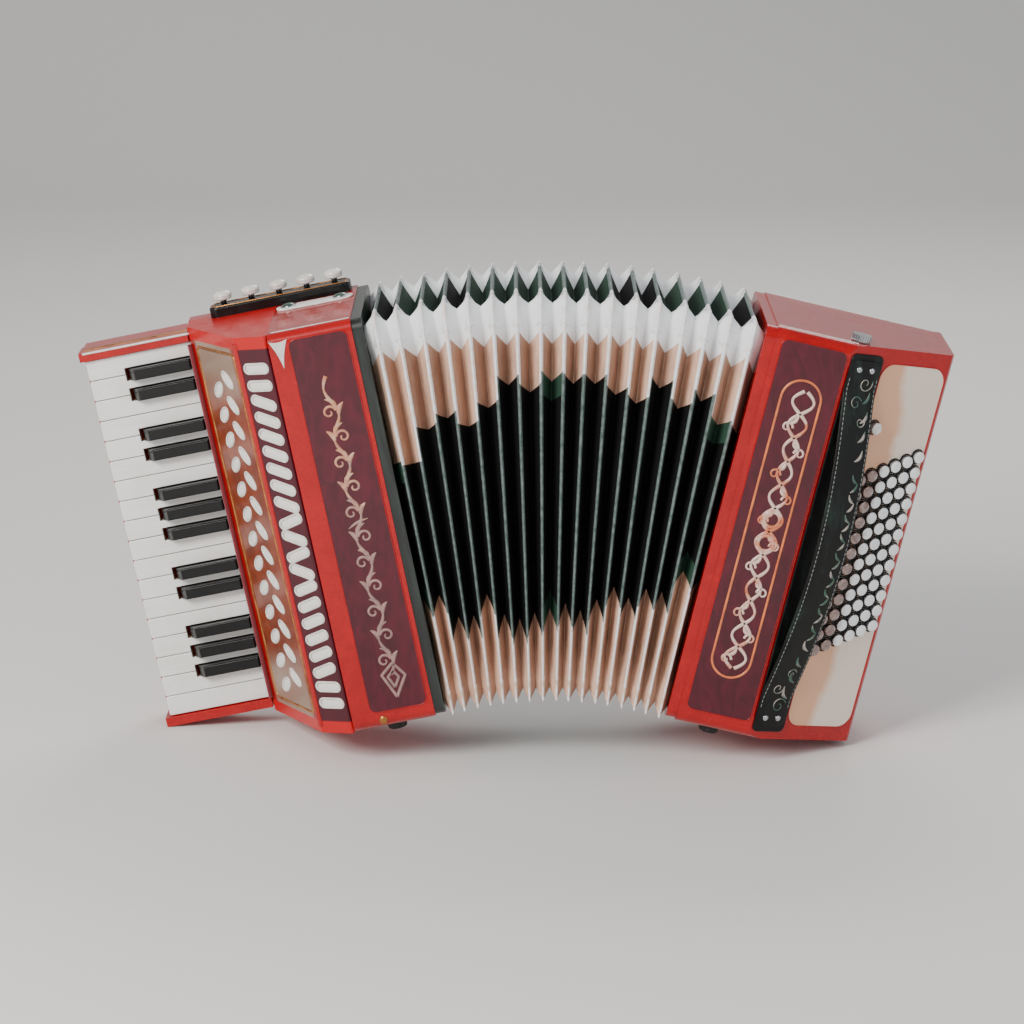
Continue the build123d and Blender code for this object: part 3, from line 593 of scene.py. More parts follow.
# A strip of dark red felt seals the slit where the keys pass under the grille.
FELT = ink(96, 12, 24)
FELT_NAP = ink(138, 30, 44)
red_felt = Finish("red_felt", {"Roughness": 0.95, "Sheen Weight": 0.5})
where = red_felt.place()
nap = red_felt.noise(where, 900, 3, 0.7)
red_felt.two_tone(nap, 0.3, 0.7, FELT, FELT_NAP)
red_felt.bump(nap, 0.5, 0.0006)
grille_low = upright_box("grille", TREBLE_TILT)[0]
slit = Face((grille_low[0] - 0.0012, KEY_TOP - 0.0065, 0), (1, 0, 0), (0, 0, 1), TREBLE_TILT)
felt_run = np.linspace(0.014, bed_tall - 0.012, 60)
felt_path = np.stack([np.full(60, 0.0), felt_run], -1)
felt = beads("key_slit_felt", slit, [(felt_path, 0.0045, 0.0030)], red_felt)
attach(felt, "treble")


# ---------------------------------------------------------------- grille
# Two slanted facets of pressed sheet: the one beside the keys bronze with leaf openings, the one in front
# wine red with a ladder of bars. Each opening has a pearl rim and a padded piece, and cloth lies behind.
BRONZE = ink(142, 60, 26)
BRONZE_DARK = ink(96, 36, 20)
TAUPE = ink(146, 120, 104)
SIDE_ACROSS, FRONT_ACROSS, FACET_DEEP, SKIN = 0.054, 0.034, 0.024, 0.003
corner_x, corner_y = TREBLE_OUT - FRONT_ACROSS, FRONT + FACET_DEEP
side_y = KEY_TOP - 0.005
side_run = np.array([SIDE_ACROSS, corner_y - side_y])
SIDE_WIDE = float(np.hypot(*side_run))
FACET_WIDE = math.hypot(FRONT_ACROSS, FACET_DEEP)
side_way = (*side_run / SIDE_WIDE, 0)
bar_way = (FRONT_ACROSS / FACET_WIDE, -FACET_DEEP / FACET_WIDE, 0)
side_facet = Face((corner_x - SIDE_ACROSS, side_y, 0), side_way, (0, 0, 1), TREBLE_TILT)
bar_facet = Face((corner_x, corner_y, 0), bar_way, (0, 0, 1), TREBLE_TILT)

grille_skin = Finish("grille_bronze_and_wine", {"Coat Weight": 0.25, "Coat Roughness": 0.1, "IOR": 1.4})
side_angle = math.atan2(side_run[1], side_run[0])
here = upright_place(grille_skin, TREBLE_TILT)
x_here = grille_skin.axis(here, 0)
z_here = grille_skin.axis(here, 2)
mottle = grille_skin.noise(grille_skin.place(), 34, 5, 0.55, 1.2)
cloud = grille_skin.noise(grille_skin.place(), 9, 3)
across_side = (x_here - (corner_x - SIDE_ACROSS)) / SIDE_ACROSS
bronze = grille_skin.blend(grille_skin.limit(mottle, 0.3, 0.75), BRONZE, BRONZE_DARK)
from_middle = (z_here - HEIGHT / 2).maths("ABSOLUTE")
ends = grille_skin.limit(from_middle + cloud * 0.03, 0.140, 0.172)
edge = grille_skin.limit((across_side - 0.5).maths("ABSOLUTE"), 0.36, 0.42)
panel_tone = grille_skin.blend(ends, bronze, TAUPE)
framed = grille_skin.blend(edge, panel_tone, RED_DEEP)
wine = grille_skin.blend(grille_skin.limit(mottle, 0.3, 0.7), WINE_DEEP, WINE)
on_bars = (across_side > 1.0)
rim = grille_skin.limit(from_middle, HEIGHT / 2 - 0.0125, HEIGHT / 2 - 0.0115)
skin = grille_skin.blend(on_bars, framed, wine)
grille_skin.feed("Base Color", grille_skin.blend(rim, skin, RED))
grille_skin.feed("Roughness", grille_skin.limit(mottle, 0.2, 0.8) * 0.2 + 0.30)
grille_skin.bump(mottle, 0.06, 0.001)
paint("grille", grille_skin)

LEAF_HALF, LEAF_ROWS, LEAF_LOW, LEAF_PITCH, LEAF_SLANT = (0.0120, 0.0058), 13, 0.037, 0.0254, 30
BAR_LONG, BAR_TALL, BAR_ROWS, BAR_LOW, BAR_PITCH, BAR_SLANT = 0.029, 0.0092, 21, 0.031, 0.0169, 18
around = np.linspace(0, 2 * math.pi, 36, endpoint=False)
leaf = np.stack([np.cos(around), np.sin(around)], -1) * LEAF_HALF
bar = rounded_outline(BAR_LONG, BAR_TALL, BAR_TALL / 2 - 1e-5, 9)


def slanted(outline, degrees):
    """An outline turned about its centre."""
    c, s = math.cos(math.radians(degrees)), math.sin(math.radians(degrees))
    return outline @ np.array([[c, s], [-s, c]])


def bar_slant(row):
    """Level at both ends, slanting one way below and the other way above, and zigzag in the middle."""
    if row < 2 or row >= BAR_ROWS - 2:
        return 0
    if 7 < row < 13:
        return BAR_SLANT if row % 2 else -BAR_SLANT
    return BAR_SLANT if row <= 7 else -BAR_SLANT


RIM_WIDE, RIM_TALL = 0.0024, 0.0010
leaves = [
    slanted(leaf, slant) + (SIDE_WIDE * share, LEAF_LOW + (row + lift) * LEAF_PITCH)
    for row in range(LEAF_ROWS)
    for share, slant, lift in ((0.42, LEAF_SLANT, 0), (0.67, -LEAF_SLANT, 0.5))
]
bars = [
    slanted(bar, bar_slant(row)) + (FACET_WIDE / 2, BAR_LOW + row * BAR_PITCH)
    for row in range(BAR_ROWS)
]
for name, face, outlines in (
    ("leaf_opening_rims", side_facet, leaves),
    ("bar_opening_rims", bar_facet, bars),
):
    lines = [(line, RIM_WIDE, RIM_TALL) for line in outlines]
    rims = beads(name, face, lines, white_pearl, closed=True, columns=8)
    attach(rims, "treble")

# A gilt line frames the side facet, and a half-round red strip covers the corner between the facets.
corner_run = np.stack([np.zeros(40), np.linspace(0.006, HEIGHT - 0.006, 40)], -1)
frame_line = rounded_outline(SIDE_WIDE * 0.80, HEIGHT - 0.036, 0.006) + (SIDE_WIDE * 0.53, HEIGHT / 2)
strip_specs = (
    ("side_facet_frame", side_facet, frame_line, gilt, True),
    ("facet_corner_strip", bar_facet, corner_run, red_celluloid, False),
)
for name, face, line, finish, closed in strip_specs:
    strip = beads(name, face, [(line, 0.0030 if closed else 0.006, 0.0010)], finish, closed=closed)
    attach(strip, "treble")

CLOTH = ink(250, 248, 244)
CLOTH_SHADE = ink(222, 216, 208)
grille_linen = Finish("grille_linen", {"Roughness": 0.9, "Sheen Weight": 0.2})
weave_place = upright_place(grille_linen, TREBLE_TILT, turn=-side_angle)
weave = {"Vector": weave_place, "Scale": 900.0}
warp, weft = (grille_linen.node("ShaderNodeTexWave", {"bands_direction": way}, weave) for way in "XZ")
thread = warp * 0.5 + weft * 0.5
grille_linen.feed("Base Color", grille_linen.blend(thread, CLOTH_SHADE, CLOTH))
grille_linen.bump(thread, 0.3, 0.0003)
CLOTH_LESS, CLOTH_SHORTER = 0.014, 0.020
for name, face, wide in (("leaf_cloth", side_facet, SIDE_WIDE), ("bar_cloth", bar_facet, FACET_WIDE)):
    size = (wide - CLOTH_LESS, HEIGHT - CLOTH_SHORTER)
    edge = rounded_outline(*size, 0.003) + (wide / 2 + 0.001, HEIGHT / 2)
    behind = Face(face.corner - face.out * (SKIN + 0.0006), face.along, face.up, TREBLE_TILT)
    cloth = plate(name, behind, edge, 0.0004, 0.0002, grille_linen, sunk=0.0002)
    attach(cloth, "treble")
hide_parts("grille_cloth")


def pads(name, face, outlines, finish):
    """A padded piece in each opening: it stands on the cloth, fills the outline and domes to the face."""
    points, faces = [], []
    rings = ((0.985, -0.0036), (0.985, -0.0008), (0.80, -0.0001), (0.45, 0.0002), (0.02, 0.0003))
    for outline in outlines:
        centre = outline.mean(0)
        number = np.arange(len(rings) * len(outline)).reshape(len(rings), -1)
        faces.append(quads_of(np.hstack([number, number[:, :1]])) + number.size * len(faces))
        for share, out in rings:
            line = centre + (outline - centre) * share
            points.append(face.points(line[:, 0], line[:, 1], out))
    return mesh_object(name, np.concatenate(points), np.concatenate(faces), finish)


for piece in (
    pads("leaf_pads", side_facet, leaves, grille_linen),
    pads("bar_pads", bar_facet, bars, grille_linen),
):
    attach(piece, "treble")


# ---------------------------------------------------------------- inside the treble half
# The soundboard and reed blocks are plain spruce and beech; they are seen only through the tone holes.
spruce = Finish("plain_spruce", {"Roughness": 0.6})
grain_place = upright_place(spruce, TREBLE_TILT, (120, 120, 8))
rings = spruce.noise(grain_place, 2, 5, 0.6, 0.8)
spruce.two_tone(rings, 0.3, 0.7, LIME_WOOD, LIME_GRAIN)
spruce.bump(rings, 0.15, 0.0005)
for node in ("treble_soundboard", "treble_reed_blocks", "bass_reed_block"):
    paint(node, spruce)
paint("bass_lever_rack", bright_steel)


# ---------------------------------------------------------------- chin registers
# Five turned pearl knobs on steel stems stand in a black rail at the back of the treble casing's top.
BLACK = ink(8, 9, 10)
BLACK_SOFT = ink(30, 34, 33)
black_celluloid = Finish("black_celluloid", {"Coat Weight": 0.3, "Coat Roughness": 0.06, "IOR": 1.35})
where = black_celluloid.place()
haze = black_celluloid.noise(where, 40, 4)
black_celluloid.two_tone(haze, 0.45, 0.8, BLACK, BLACK_SOFT)
black_celluloid.feed("Roughness", black_celluloid.limit(haze, 0.2, 0.8) * 0.2 + 0.2)
black_celluloid.bump(black_celluloid.noise(where, 200, 2), 0.03, 0.0005)
paint("register_rail", black_celluloid)


def turned(name, base, axis, profile, finish, steps=32):
    """A lathe-turned piece: the profile's radius and height, carried round an axis that leaves the base."""
    axis = np.array(axis, float) / np.linalg.norm(axis)
    side = np.cross(axis, (0, 1, 0) if abs(axis[1]) < 0.9 else (1, 0, 0))
    side /= np.linalg.norm(side)
    other = np.cross(axis, side)
    angle = np.linspace(0, 2 * math.pi, steps, endpoint=False)
    radius, height = np.asarray(profile, float).T
    ring = np.cos(angle)[:, None] * side + np.sin(angle)[:, None] * other
    grid = np.asarray(base) + height[:, None, None] * axis + radius[:, None, None] * ring[None]
    return surface(name, grid, finish, wrap_v=True)


def dome_profile(radius, skirt, crown, groove=0.0):
    """From the centre of the underside out to the skirt, up it, and over an elliptical crown to its top."""
    sweep = np.linspace(0, math.pi / 2, 12)
    over = np.stack([radius * np.cos(sweep), skirt + (crown - skirt) * np.sin(sweep)], -1)
    over[-1, 0] = radius * 0.002
    under = [(radius * 0.002, 0), (radius * 0.55, 0), (radius * 0.92, 0.0004), (radius, skirt * 0.45)]
    notch = [(radius - groove, skirt * 0.7), (radius, skirt * 0.9)] if groove else []
    return np.array(under + notch + over.tolist())


KNOB_HEAD, KNOB_TALL, STEM, STEM_COLLAR, POLE = 0.0093, 0.009, 0.003, 0.0036, 0.00001
head_profile = dome_profile(KNOB_HEAD, 0.004, KNOB_TALL, 0.0006)
up_treble = swing((0, 0, 1), TREBLE_TILT)
for number in range(1, 6):
    knob_low, knob_high = upright_box(f"register_knob_{number}", TREBLE_TILT)
    centre = (knob_low + knob_high) / 2
    head_foot = knob_high[2] - KNOB_TALL
    base = swing((centre[0], centre[1], head_foot), TREBLE_TILT) + FAN_AXIS
    head = turned(f"register_head_{number}", base, up_treble, head_profile, white_pearl)
    stem_foot = swing((centre[0], centre[1], knob_low[2]), TREBLE_TILT) + FAN_AXIS
    stem_tall = head_foot - knob_low[2] + 0.0005
    stem_profile = [
        (POLE, 0), (STEM, 0), (STEM, stem_tall * 0.8), (STEM_COLLAR, stem_tall * 0.86), (STEM, stem_tall),
        (POLE, stem_tall),
    ]
    stem = turned(f"register_stem_{number}", stem_foot, up_treble, stem_profile, bright_steel, 20)
    for piece in (head, stem):
        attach(piece, f"register_knob_{number}")
    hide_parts(f"register_knob_{number}")

# A gilt bead runs round the rail's top.
rail_low, rail_high = upright_box("register_rail", TREBLE_TILT)
rail_mid = (rail_low + rail_high) / 2
rail_face = Face((rail_mid[0], rail_mid[1], rail_high[2] - UNDERSIDE), (1, 0, 0), (0, 1, 0), TREBLE_TILT)
rail_line = rounded_outline(rail_high[0] - rail_low[0] - 0.006, rail_high[1] - rail_low[1] - 0.006, 0.006)
rail_bead = beads("register_rail_bead", rail_face, [(rail_line, 0.0014, 0.0007)], gilt, closed=True)
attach(rail_bead, "treble")


# ---------------------------------------------------------------- straps and fittings on the treble half
# A white leather bellows strap lies along the casing's top under two green snaps; four eyes at the back take
# the shoulder straps; turned rubber feet are screwed underneath.
HIDE = ink(238, 236, 230)
HIDE_CREASE = ink(186, 182, 174)
white_leather = Finish("white_leather", {"Roughness": 0.5, "Coat Weight": 0.15, "Coat Roughness": 0.3})
where = white_leather.place()
pebble = white_leather.cells(where, 520)
crease = white_leather.noise(where, 70, 5, 0.6, 1.0)
white_leather.two_tone(crease, 0.4, 0.8, HIDE, HIDE_CREASE)
white_leather.bump(pebble * 0.6 + crease, 0.25, 0.0008)

strap_low, strap_high = upright_box("bellows_strap", TREBLE_TILT)
STRAP_THICK = strap_high[2] - strap_low[2]
strap_along = np.linspace(0, 1, 60)
strap_across = np.linspace(-1, 1, 17)
strap_mid = (strap_low + strap_high) / 2
strap_half = (strap_high - strap_low) / 2


def strap_skin(level):
    """The strap's upper or lower skin: its ends are semicircles, its top pillows up between the stitches."""
    x = strap_low[0] + strap_along * (strap_high[0] - strap_low[0])
    end = np.minimum(x - strap_low[0], strap_high[0] - x) / strap_half[1]
    width = strap_half[1] * np.sqrt(1 - (1 - np.clip(end, 0, 1)) ** 2) + 1e-5
    y = strap_mid[1] + width[:, None] * strap_across
    pillow = (1 - strap_across ** 4) * (1 - 0.25 * np.cos(8 * math.pi * strap_along[:, None]) ** 8)
    z = np.full(y.shape, 0.0) + HEIGHT + (STRAP_THICK * (0.55 + 0.45 * pillow) if level else 0.0001)
    return stand(np.stack([np.broadcast_to(x[:, None], y.shape), y, z], -1), TREBLE_TILT)


upper, lower = strap_skin(1), strap_skin(0)
strap_grid = np.concatenate([upper, lower[:, ::-1]], 1)
top_strap = surface("white_bellows_strap", strap_grid, white_leather, wrap_v=True)
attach(top_strap, "treble")
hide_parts("bellows_strap")

GREEN = ink(58, 92, 76)
GREEN_DARK = ink(30, 52, 44)
green_enamel = Finish("green_enamel", {"Coat Weight": 0.7, "Coat Roughness": 0.05})
where = green_enamel.place()
fleck = green_enamel.noise(where, 160, 4)
green_enamel.two_tone(fleck, 0.35, 0.7, GREEN_DARK, GREEN)
green_enamel.feed("Roughness", green_enamel.limit(fleck, 0.2, 0.8) * 0.15 + 0.15)
snap_profile = dome_profile(0.0062, 0.0008, 0.0032)
ring_path = [(rounded_outline(0.0142, 0.0142, 0.0071 - 1e-5, 8), 0.0016, 0.0010)]
for number, share in ((1, 0.16), (2, 0.84)):
    snap_x = strap_low[0] + share * (strap_high[0] - strap_low[0])
    base = stand((snap_x, strap_mid[1], HEIGHT + STRAP_THICK - 0.0003), TREBLE_TILT)
    snap = turned(f"strap_snap_{number}", base, up_treble, snap_profile, green_enamel)
    ring_face = Face((snap_x, strap_mid[1], HEIGHT + STRAP_THICK), (1, 0, 0), (0, 1, 0), TREBLE_TILT)
    ring = beads(f"strap_snap_ring_{number}", ring_face, ring_path, bright_steel, closed=True)
    for piece in (snap, ring):
        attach(piece, "treble")

chrome_plate = Finish("chrome_fittings", {"Metallic": 1.0})
where = chrome_plate.place()
pitting = chrome_plate.noise(where, 240, 4)
chrome_plate.two_tone(pitting, 0.5, 0.8, STEEL, STEEL_DULL)
chrome_plate.feed("Roughness", chrome_plate.limit(pitting, 0.3, 0.9) * 0.2 + 0.08)
paint("strap_brackets", chrome_plate)

foot_rubber = Finish("foot_rubber", {"Roughness": 0.8})
where = foot_rubber.place()
rub = foot_rubber.noise(where, 300, 4)
foot_rubber.two_tone(rub, 0.5, 0.8, ink(28, 28, 28), ink(74, 72, 70))
foot_rubber.bump(rub, 0.2, 0.0005)
paint("treble_feet", foot_rubber)
paint("bass_feet", foot_rubber)


# ---------------------------------------------------------------- bellows
# Seventeen folds of board covered in cloth, beige with a black lens across the front, and white gussets in
# the corners. Tape binds each ridge, and a bent cap protects each corner. Every point has a place between the
# two halves, and each place takes its share of the tilt between them, so the folds spread evenly between the
# halves as they stand.
FOLDS = 17
frame_low, frame_high = upright_box("treble_bellows_frame", TREBLE_TILT)
FOLD_PITCH = -2 * frame_high[0] / FOLDS          # one fold when the bellows is shut
RING_DEEP = frame_high[1] - frame_low[1]
RING_TALL = frame_high[2] - frame_low[2]
RING_FOOT = frame_low[2] - UNDERSIDE
FOLD_DEPTH = 0.025
BOARD = 0.0022
RING_ROUND = 0.006
FRONT_STEPS, TOP_STEPS, ARC_STEPS = 44, 24, 5
GUSSET_REACH, CORNER_DEPTH = 0.045, 0.42


def fan(place, y, z):
    """Points of the bellows: place counts folds from the treble half, and each place has its own tilt, shared
    out evenly between the two halves' tilts."""
    tilt = TREBLE_TILT + (BASS_TILT - TREBLE_TILT) * place / FOLDS
    x, rise = (place - FOLDS / 2) * FOLD_PITCH, z + UNDERSIDE
    swung = [x * np.cos(tilt) + rise * np.sin(tilt), y, rise * np.cos(tilt) - x * np.sin(tilt)]
    return np.stack(np.broadcast_arrays(*swung), -1) + FAN_AXIS


def ring_section(depth):
    """Y and Z round the bellows at a depth under the ridges: up the front, over the top to the back, down and
    under, with an arc at each corner. Also the distance along the ridge from the front's lower corner.
    Towards a corner the gusset fills the folds, so the depth there falls smoothly to less than half."""
    sides = np.array([RING_TALL, RING_DEEP, RING_TALL, RING_DEEP])
    corner_run = np.concatenate([[0], np.cumsum(sides)])
    runs = []
    for corner in range(4):
        steps = FRONT_STEPS if corner % 2 == 0 else TOP_STEPS
        runs.append(corner_run[corner] + np.linspace(-0.5, 0.5, ARC_STEPS) * RING_ROUND)
        share = np.linspace(0, 1, steps + 2)[1:-1]
        share = share - 0.09 * np.sin(2 * math.pi * share)
        runs.append(corner_run[corner] + RING_ROUND / 2 + (sides[corner] - RING_ROUND) * share)
    run = np.concatenate(runs)
    from_corner = np.abs(run[:, None] - corner_run).min(1)
    filled = 1 - (1 - CORNER_DEPTH) * 0.5 * (1 + np.cos(math.pi * np.clip(from_corner / GUSSET_REACH, 0, 1)))
    rings = []
    for inset in (0.0, FOLD_DEPTH):
        half = np.array([RING_DEEP, RING_TALL]) / 2 - inset
        corners = np.array([[-1, -1], [-1, 1], [1, 1], [1, -1], [-1, -1]]) * half
        side = np.clip(np.searchsorted(corner_run, run, "right") - 1, 0, 3)
        share = (run - corner_run[side]) / sides[side]
        ring = corners[side] + (corners[side + 1] - corners[side]) * share[:, None]
        reach = np.clip(1 - from_corner / RING_ROUND, 0, 1)[:, None]
        nearest = corners[np.abs(run[:, None] - corner_run).argmin(1)]
        rings.append(ring - np.sign(nearest) * RING_ROUND * 0.3 * reach ** 2)
    share = (np.asarray(depth)[..., None] / FOLD_DEPTH * filled)[..., None]
    ring = rings[0] + (rings[1] - rings[0]) * share
    return ring[..., 0], ring[..., 1] + RING_FOOT + RING_TALL / 2, run


def with_bellows(piece, place):
    """Bakes the piece's transform into its mesh; the piece is not bent with the bellows. The place argument
    is not used.
    """
    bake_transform(piece)


BEIGE = ink(236, 196, 170)
BEIGE_DARK = ink(184, 148, 128)
SHADED_CARD_TAUPE = ink(152, 120, 104)
CLOTH_BLACK = ink(10, 10, 11)
CLOTH_GREEN = ink(42, 70, 56)
GUSSET = ink(244, 246, 248)
TAPE_GREY = ink(112, 126, 124)
LENS_MIDDLE, LENS_SLOPE, LENS_END, LENS_SWELL = 0.196, 0.021, 0.076, 0.048
CORNER_FRONT, CORNER_BACK = 0.033, 0.030


def bellows_pattern(finish):
    """Masks on the bellows' own UV map, whose U is the place and V the distance round the ring: the lens,
    whose height swells as one minus the square of the distance from the middle fold and steps at each ridge,
    the corner gussets, and a random number for each step."""
    uv = finish.node("ShaderNodeUVMap", {"uv_map": "surface"})
    place = finish.axis(uv, 0) * FOLDS
    run = finish.axis(uv, 1)
    step = (place + 0.5).maths("FLOOR")
    chance = finish.node("ShaderNodeTexWhiteNoise", {"noise_dimensions": "1D"}, {"W": step}, 0)
    other_chance = finish.node("ShaderNodeTexWhiteNoise", {"noise_dimensions": "1D"}, {"W": step + 31.7}, 0)
    off = (step - FOLDS / 2) / (FOLDS / 2)
    lens_half = LENS_END + LENS_SWELL * (1 - off * off) + (chance - 0.5) * 0.030
    from_lens = (run - LENS_MIDDLE - off * LENS_SLOPE - (other_chance - 0.5) * 0.014).maths("ABSOLUTE")
    on_front = run < RING_TALL
    lens = (from_lens < lens_half) * on_front
    fringe = (from_lens > lens_half - 0.022) * lens
    top_corner = (run - RING_TALL).maths("ABSOLUTE")
    back_corner = (run - RING_TALL - RING_DEEP).maths("ABSOLUTE")
    low_corner = (run - 2 * RING_TALL - RING_DEEP).maths("ABSOLUTE")
    gusset = (top_corner < CORNER_FRONT).maths("MAXIMUM", back_corner < CORNER_BACK)
    gusset = gusset.maths("MAXIMUM", low_corner < CORNER_BACK * 0.6)
    elsewhere = (run > RING_TALL) * (1 - gusset)
    return place, run, chance, other_chance, lens, fringe, gusset, elsewhere


bellows_cloth = Finish("bellows_cloth", {"Roughness": 0.8, "IOR": 1.3})
place, run, chance, other_chance, lens, fringe, gusset, elsewhere = bellows_pattern(bellows_cloth)
# Painted light and shade: in each fold the cards facing one way are painted lighter beige and those facing
# the other way darker taupe, as if lit from the left.
lit_card_half = place.maths("FRACT") < 0.5
fleck = bellows_cloth.noise(bellows_cloth.place(scale=(1, 1, 0.35)), 130, 5, 0.6)
stain = bellows_cloth.limit(fleck + chance * 0.25, 0.45, 0.85)
painted_lit_cards = bellows_cloth.blend(stain * 0.75, BEIGE, BEIGE_DARK)
painted_shaded_cards = bellows_cloth.blend(stain * 0.75, BEIGE_DARK, SHADED_CARD_TAUPE)
beige = bellows_cloth.blend(lit_card_half, painted_shaded_cards, painted_lit_cards)
dark = bellows_cloth.blend(fringe * (other_chance > 0.55), CLOTH_BLACK, CLOTH_GREEN)
top_dark = bellows_cloth.blend((chance > 0.45) * 0.85, CLOTH_BLACK, CLOTH_GREEN)
patterned = bellows_cloth.blend(lens, beige, dark)
patterned = bellows_cloth.blend(elsewhere, patterned, top_dark)
bellows_cloth.feed("Base Color", bellows_cloth.blend(gusset, patterned, GUSSET))
uv = bellows_cloth.node("ShaderNodeUVMap", {"uv_map": "surface"})
uv = bellows_cloth.node("ShaderNodeMapping", {}, {"Vector": uv, "Scale": (FOLDS * 12, 1000, 1)})
threads = bellows_cloth.node("ShaderNodeTexChecker", {}, {"Vector": uv, "Scale": 1.0}, 1)
bellows_cloth.bump(threads * (1 - gusset) + fleck * 0.8, 0.22, 0.0004)

rng = np.random.default_rng(17)
share_out = np.array([0.0, 0.05, 0.2, 0.35, 0.46, 0.5, 0.54, 0.65, 0.8, 0.95])
outer_place = np.concatenate([fold + share_out for fold in range(FOLDS)] + [[FOLDS]])
fold_share = outer_place % 1
crest = 1 - np.abs(2 * fold_share - 1)
outer_depth = FOLD_DEPTH * (1 - crest) + 0.0007 * np.sin(math.pi * crest)
ridge_drift = rng.uniform(-0.05, 0.05, FOLDS + 1)
outer_place = outer_place + ridge_drift[np.minimum(outer_place.astype(int), FOLDS)] * crest
card_place = np.concatenate([outer_place, outer_place[::-1]])
card_depth = np.concatenate([outer_depth, outer_depth[::-1] + BOARD])
ring_y, ring_z, ring_run = ring_section(card_depth)
card_crest = np.concatenate([crest, crest[::-1]])[:, None]
ripple = 0.012 * np.sin(ring_run * 55 + card_place[:, None] * 2.1) * card_crest
place_grid = np.clip(card_place[:, None] + ripple, 0, FOLDS)
card_grid = fan(place_grid, ring_y, ring_z)
full_run = 2 * (RING_TALL + RING_DEEP)
run_wrapped = np.append(ring_run, full_run + ring_run[0])
place_wrapped = np.append(card_place, card_place[0])
card_uv = np.stack(np.broadcast_arrays(place_wrapped[:, None] / FOLDS, run_wrapped[None, :]), -1)
cards = surface("bellows_cards", card_grid, bellows_cloth, wrap_u=True, wrap_v=True, uv=card_uv)
cards.data.flip_normals()
with_bellows(cards, place_grid)
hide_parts("bellows_folds")

# Ridge tape: white over the beige cloth, grey over the black, folded over each ridge.
TAPE_REACH, TAPE_PROUD = 0.0034, 0.0005
tape_cloth = Finish("ridge_tape", {"Roughness": 0.6, "Coat Weight": 0.1})
place, run, chance, other_chance, lens, fringe, gusset, elsewhere = bellows_pattern(tape_cloth)
worn = tape_cloth.noise(tape_cloth.place(), 160, 5, 0.65)
white_tape = tape_cloth.blend(tape_cloth.limit(worn, 0.45, 0.8), GUSSET, BEIGE)
grey_tape = tape_cloth.blend(tape_cloth.limit(worn, 0.4, 0.75), TAPE_GREY, CLOTH_GREEN)
tape_cloth.feed("Base Color", tape_cloth.blend(lens.maths("MAXIMUM", elsewhere), white_tape, grey_tape))
tape_cloth.bump(worn, 0.2, 0.0004)


def over_ridge(reach, proud, spread):
    """Across a ridge, out on one side and back inside: a share of a fold and a depth for each point."""
    lean_over = np.array([-1, -0.75, -0.4, -0.14, 0, 0.14, 0.4, 0.75, 1.0])
    depth = np.abs(lean_over)[:, None] * reach
    offset = np.sign(lean_over)[:, None] * (depth / (2 * FOLD_DEPTH) + spread)
    offset = np.where(np.abs(lean_over)[:, None] < 0.05, 0, offset)
    inner_offset = offset * 0.55
    return np.concatenate([offset, inner_offset[::-1]]), np.concatenate([depth - proud, depth[::-1] + proud])


tape_points, tape_faces, tape_places, tape_uvs = [], [], [], []
tape_offset, tape_depth = over_ridge(np.full((1, 1), TAPE_REACH), TAPE_PROUD, 0.022)
tape_y, tape_z = ring_section(tape_depth[:, 0])[:2]
for fold in range(FOLDS):
    tape_place = np.broadcast_to(fold + 0.5 + ridge_drift[fold] + tape_offset, tape_y.shape)
    number = np.arange(tape_y.size).reshape(tape_y.shape) + fold * tape_y.size
    number = np.vstack([number, number[:1]])
    number = np.hstack([number, number[:, :1]])
    tape_points.append(fan(tape_place, tape_y, tape_z).reshape(-1, 3))
    tape_faces.append(quads_of(number))
    tape_places.append(tape_place.ravel())
    tape_u = np.append(tape_place[:, 0], tape_place[0, 0])[:, None] / FOLDS
    spot = np.stack(np.broadcast_arrays(tape_u, run_wrapped), -1)
    corner_number = quads_of(np.arange(tape_u.size * run_wrapped.size).reshape(spot.shape[:2])).ravel()
    tape_uvs.append(spot.reshape(-1, 2)[corner_number])
tape = mesh_object("ridge_tape", np.concatenate(tape_points), np.concatenate(tape_faces), tape_cloth)
tape.data.uv_layers.new(name="surface").data.foreach_set("uv", np.concatenate(tape_uvs).ravel())
tape.data.flip_normals()
with_bellows(tape, np.concatenate(tape_places))


def corner_caps(name, corner, along_front, along_top, reach, finish):
    """Bent caps over the corners of all ridges. Along a cap its reach down the fold's sides is the square
    root of one minus a fourth power, nothing at both ends; across it the section is folded over the ridge."""
    points, faces, places = [], [], []
    corner_y = (-1, -1, 1, 1)[corner] * RING_DEEP / 2
    corner_z = RING_FOOT + (0, 1, 1, 0)[corner] * RING_TALL
    up, back = (1, -1, -1, 1)[corner], (1, 1, -1, -1)[corner]
    steps = 26
    share = np.linspace(0, 1, steps)
    travel = -along_front + share * (along_front + along_top)
    reach_here = reach * np.sqrt(np.clip(1 - (2 * share - 1) ** 4, 0, 1)) + 0.0004
    offset, depth = over_ridge(reach_here[None, :], 0.0011, 0.045)
    bend_round = 0.5 * (np.sqrt(travel ** 2 + 0.006 ** 2) - np.abs(travel))
    for fold in range(FOLDS):
        down_side = np.where(travel < 0, -travel, 0) + bend_round
        along_side = np.where(travel > 0, travel, 0) + bend_round
        y = corner_y + back * (along_side + depth)
        z = corner_z + up * (down_side + depth)
        place = fold + 0.5 + ridge_drift[fold] + offset
        number = np.arange(y.size).reshape(y.shape) + fold * y.size
        number = np.vstack([number, number[:1]])
        points.append(fan(place, y, z).reshape(-1, 3))
        faces.append(quads_of(number))
        places.append(np.broadcast_to(place, y.shape).ravel())
    caps = mesh_object(name, np.concatenate(points), np.concatenate(faces), finish)
    if corner in (1, 3):
        caps.data.flip_normals()
    with_bellows(caps, np.concatenate(places))
    return caps


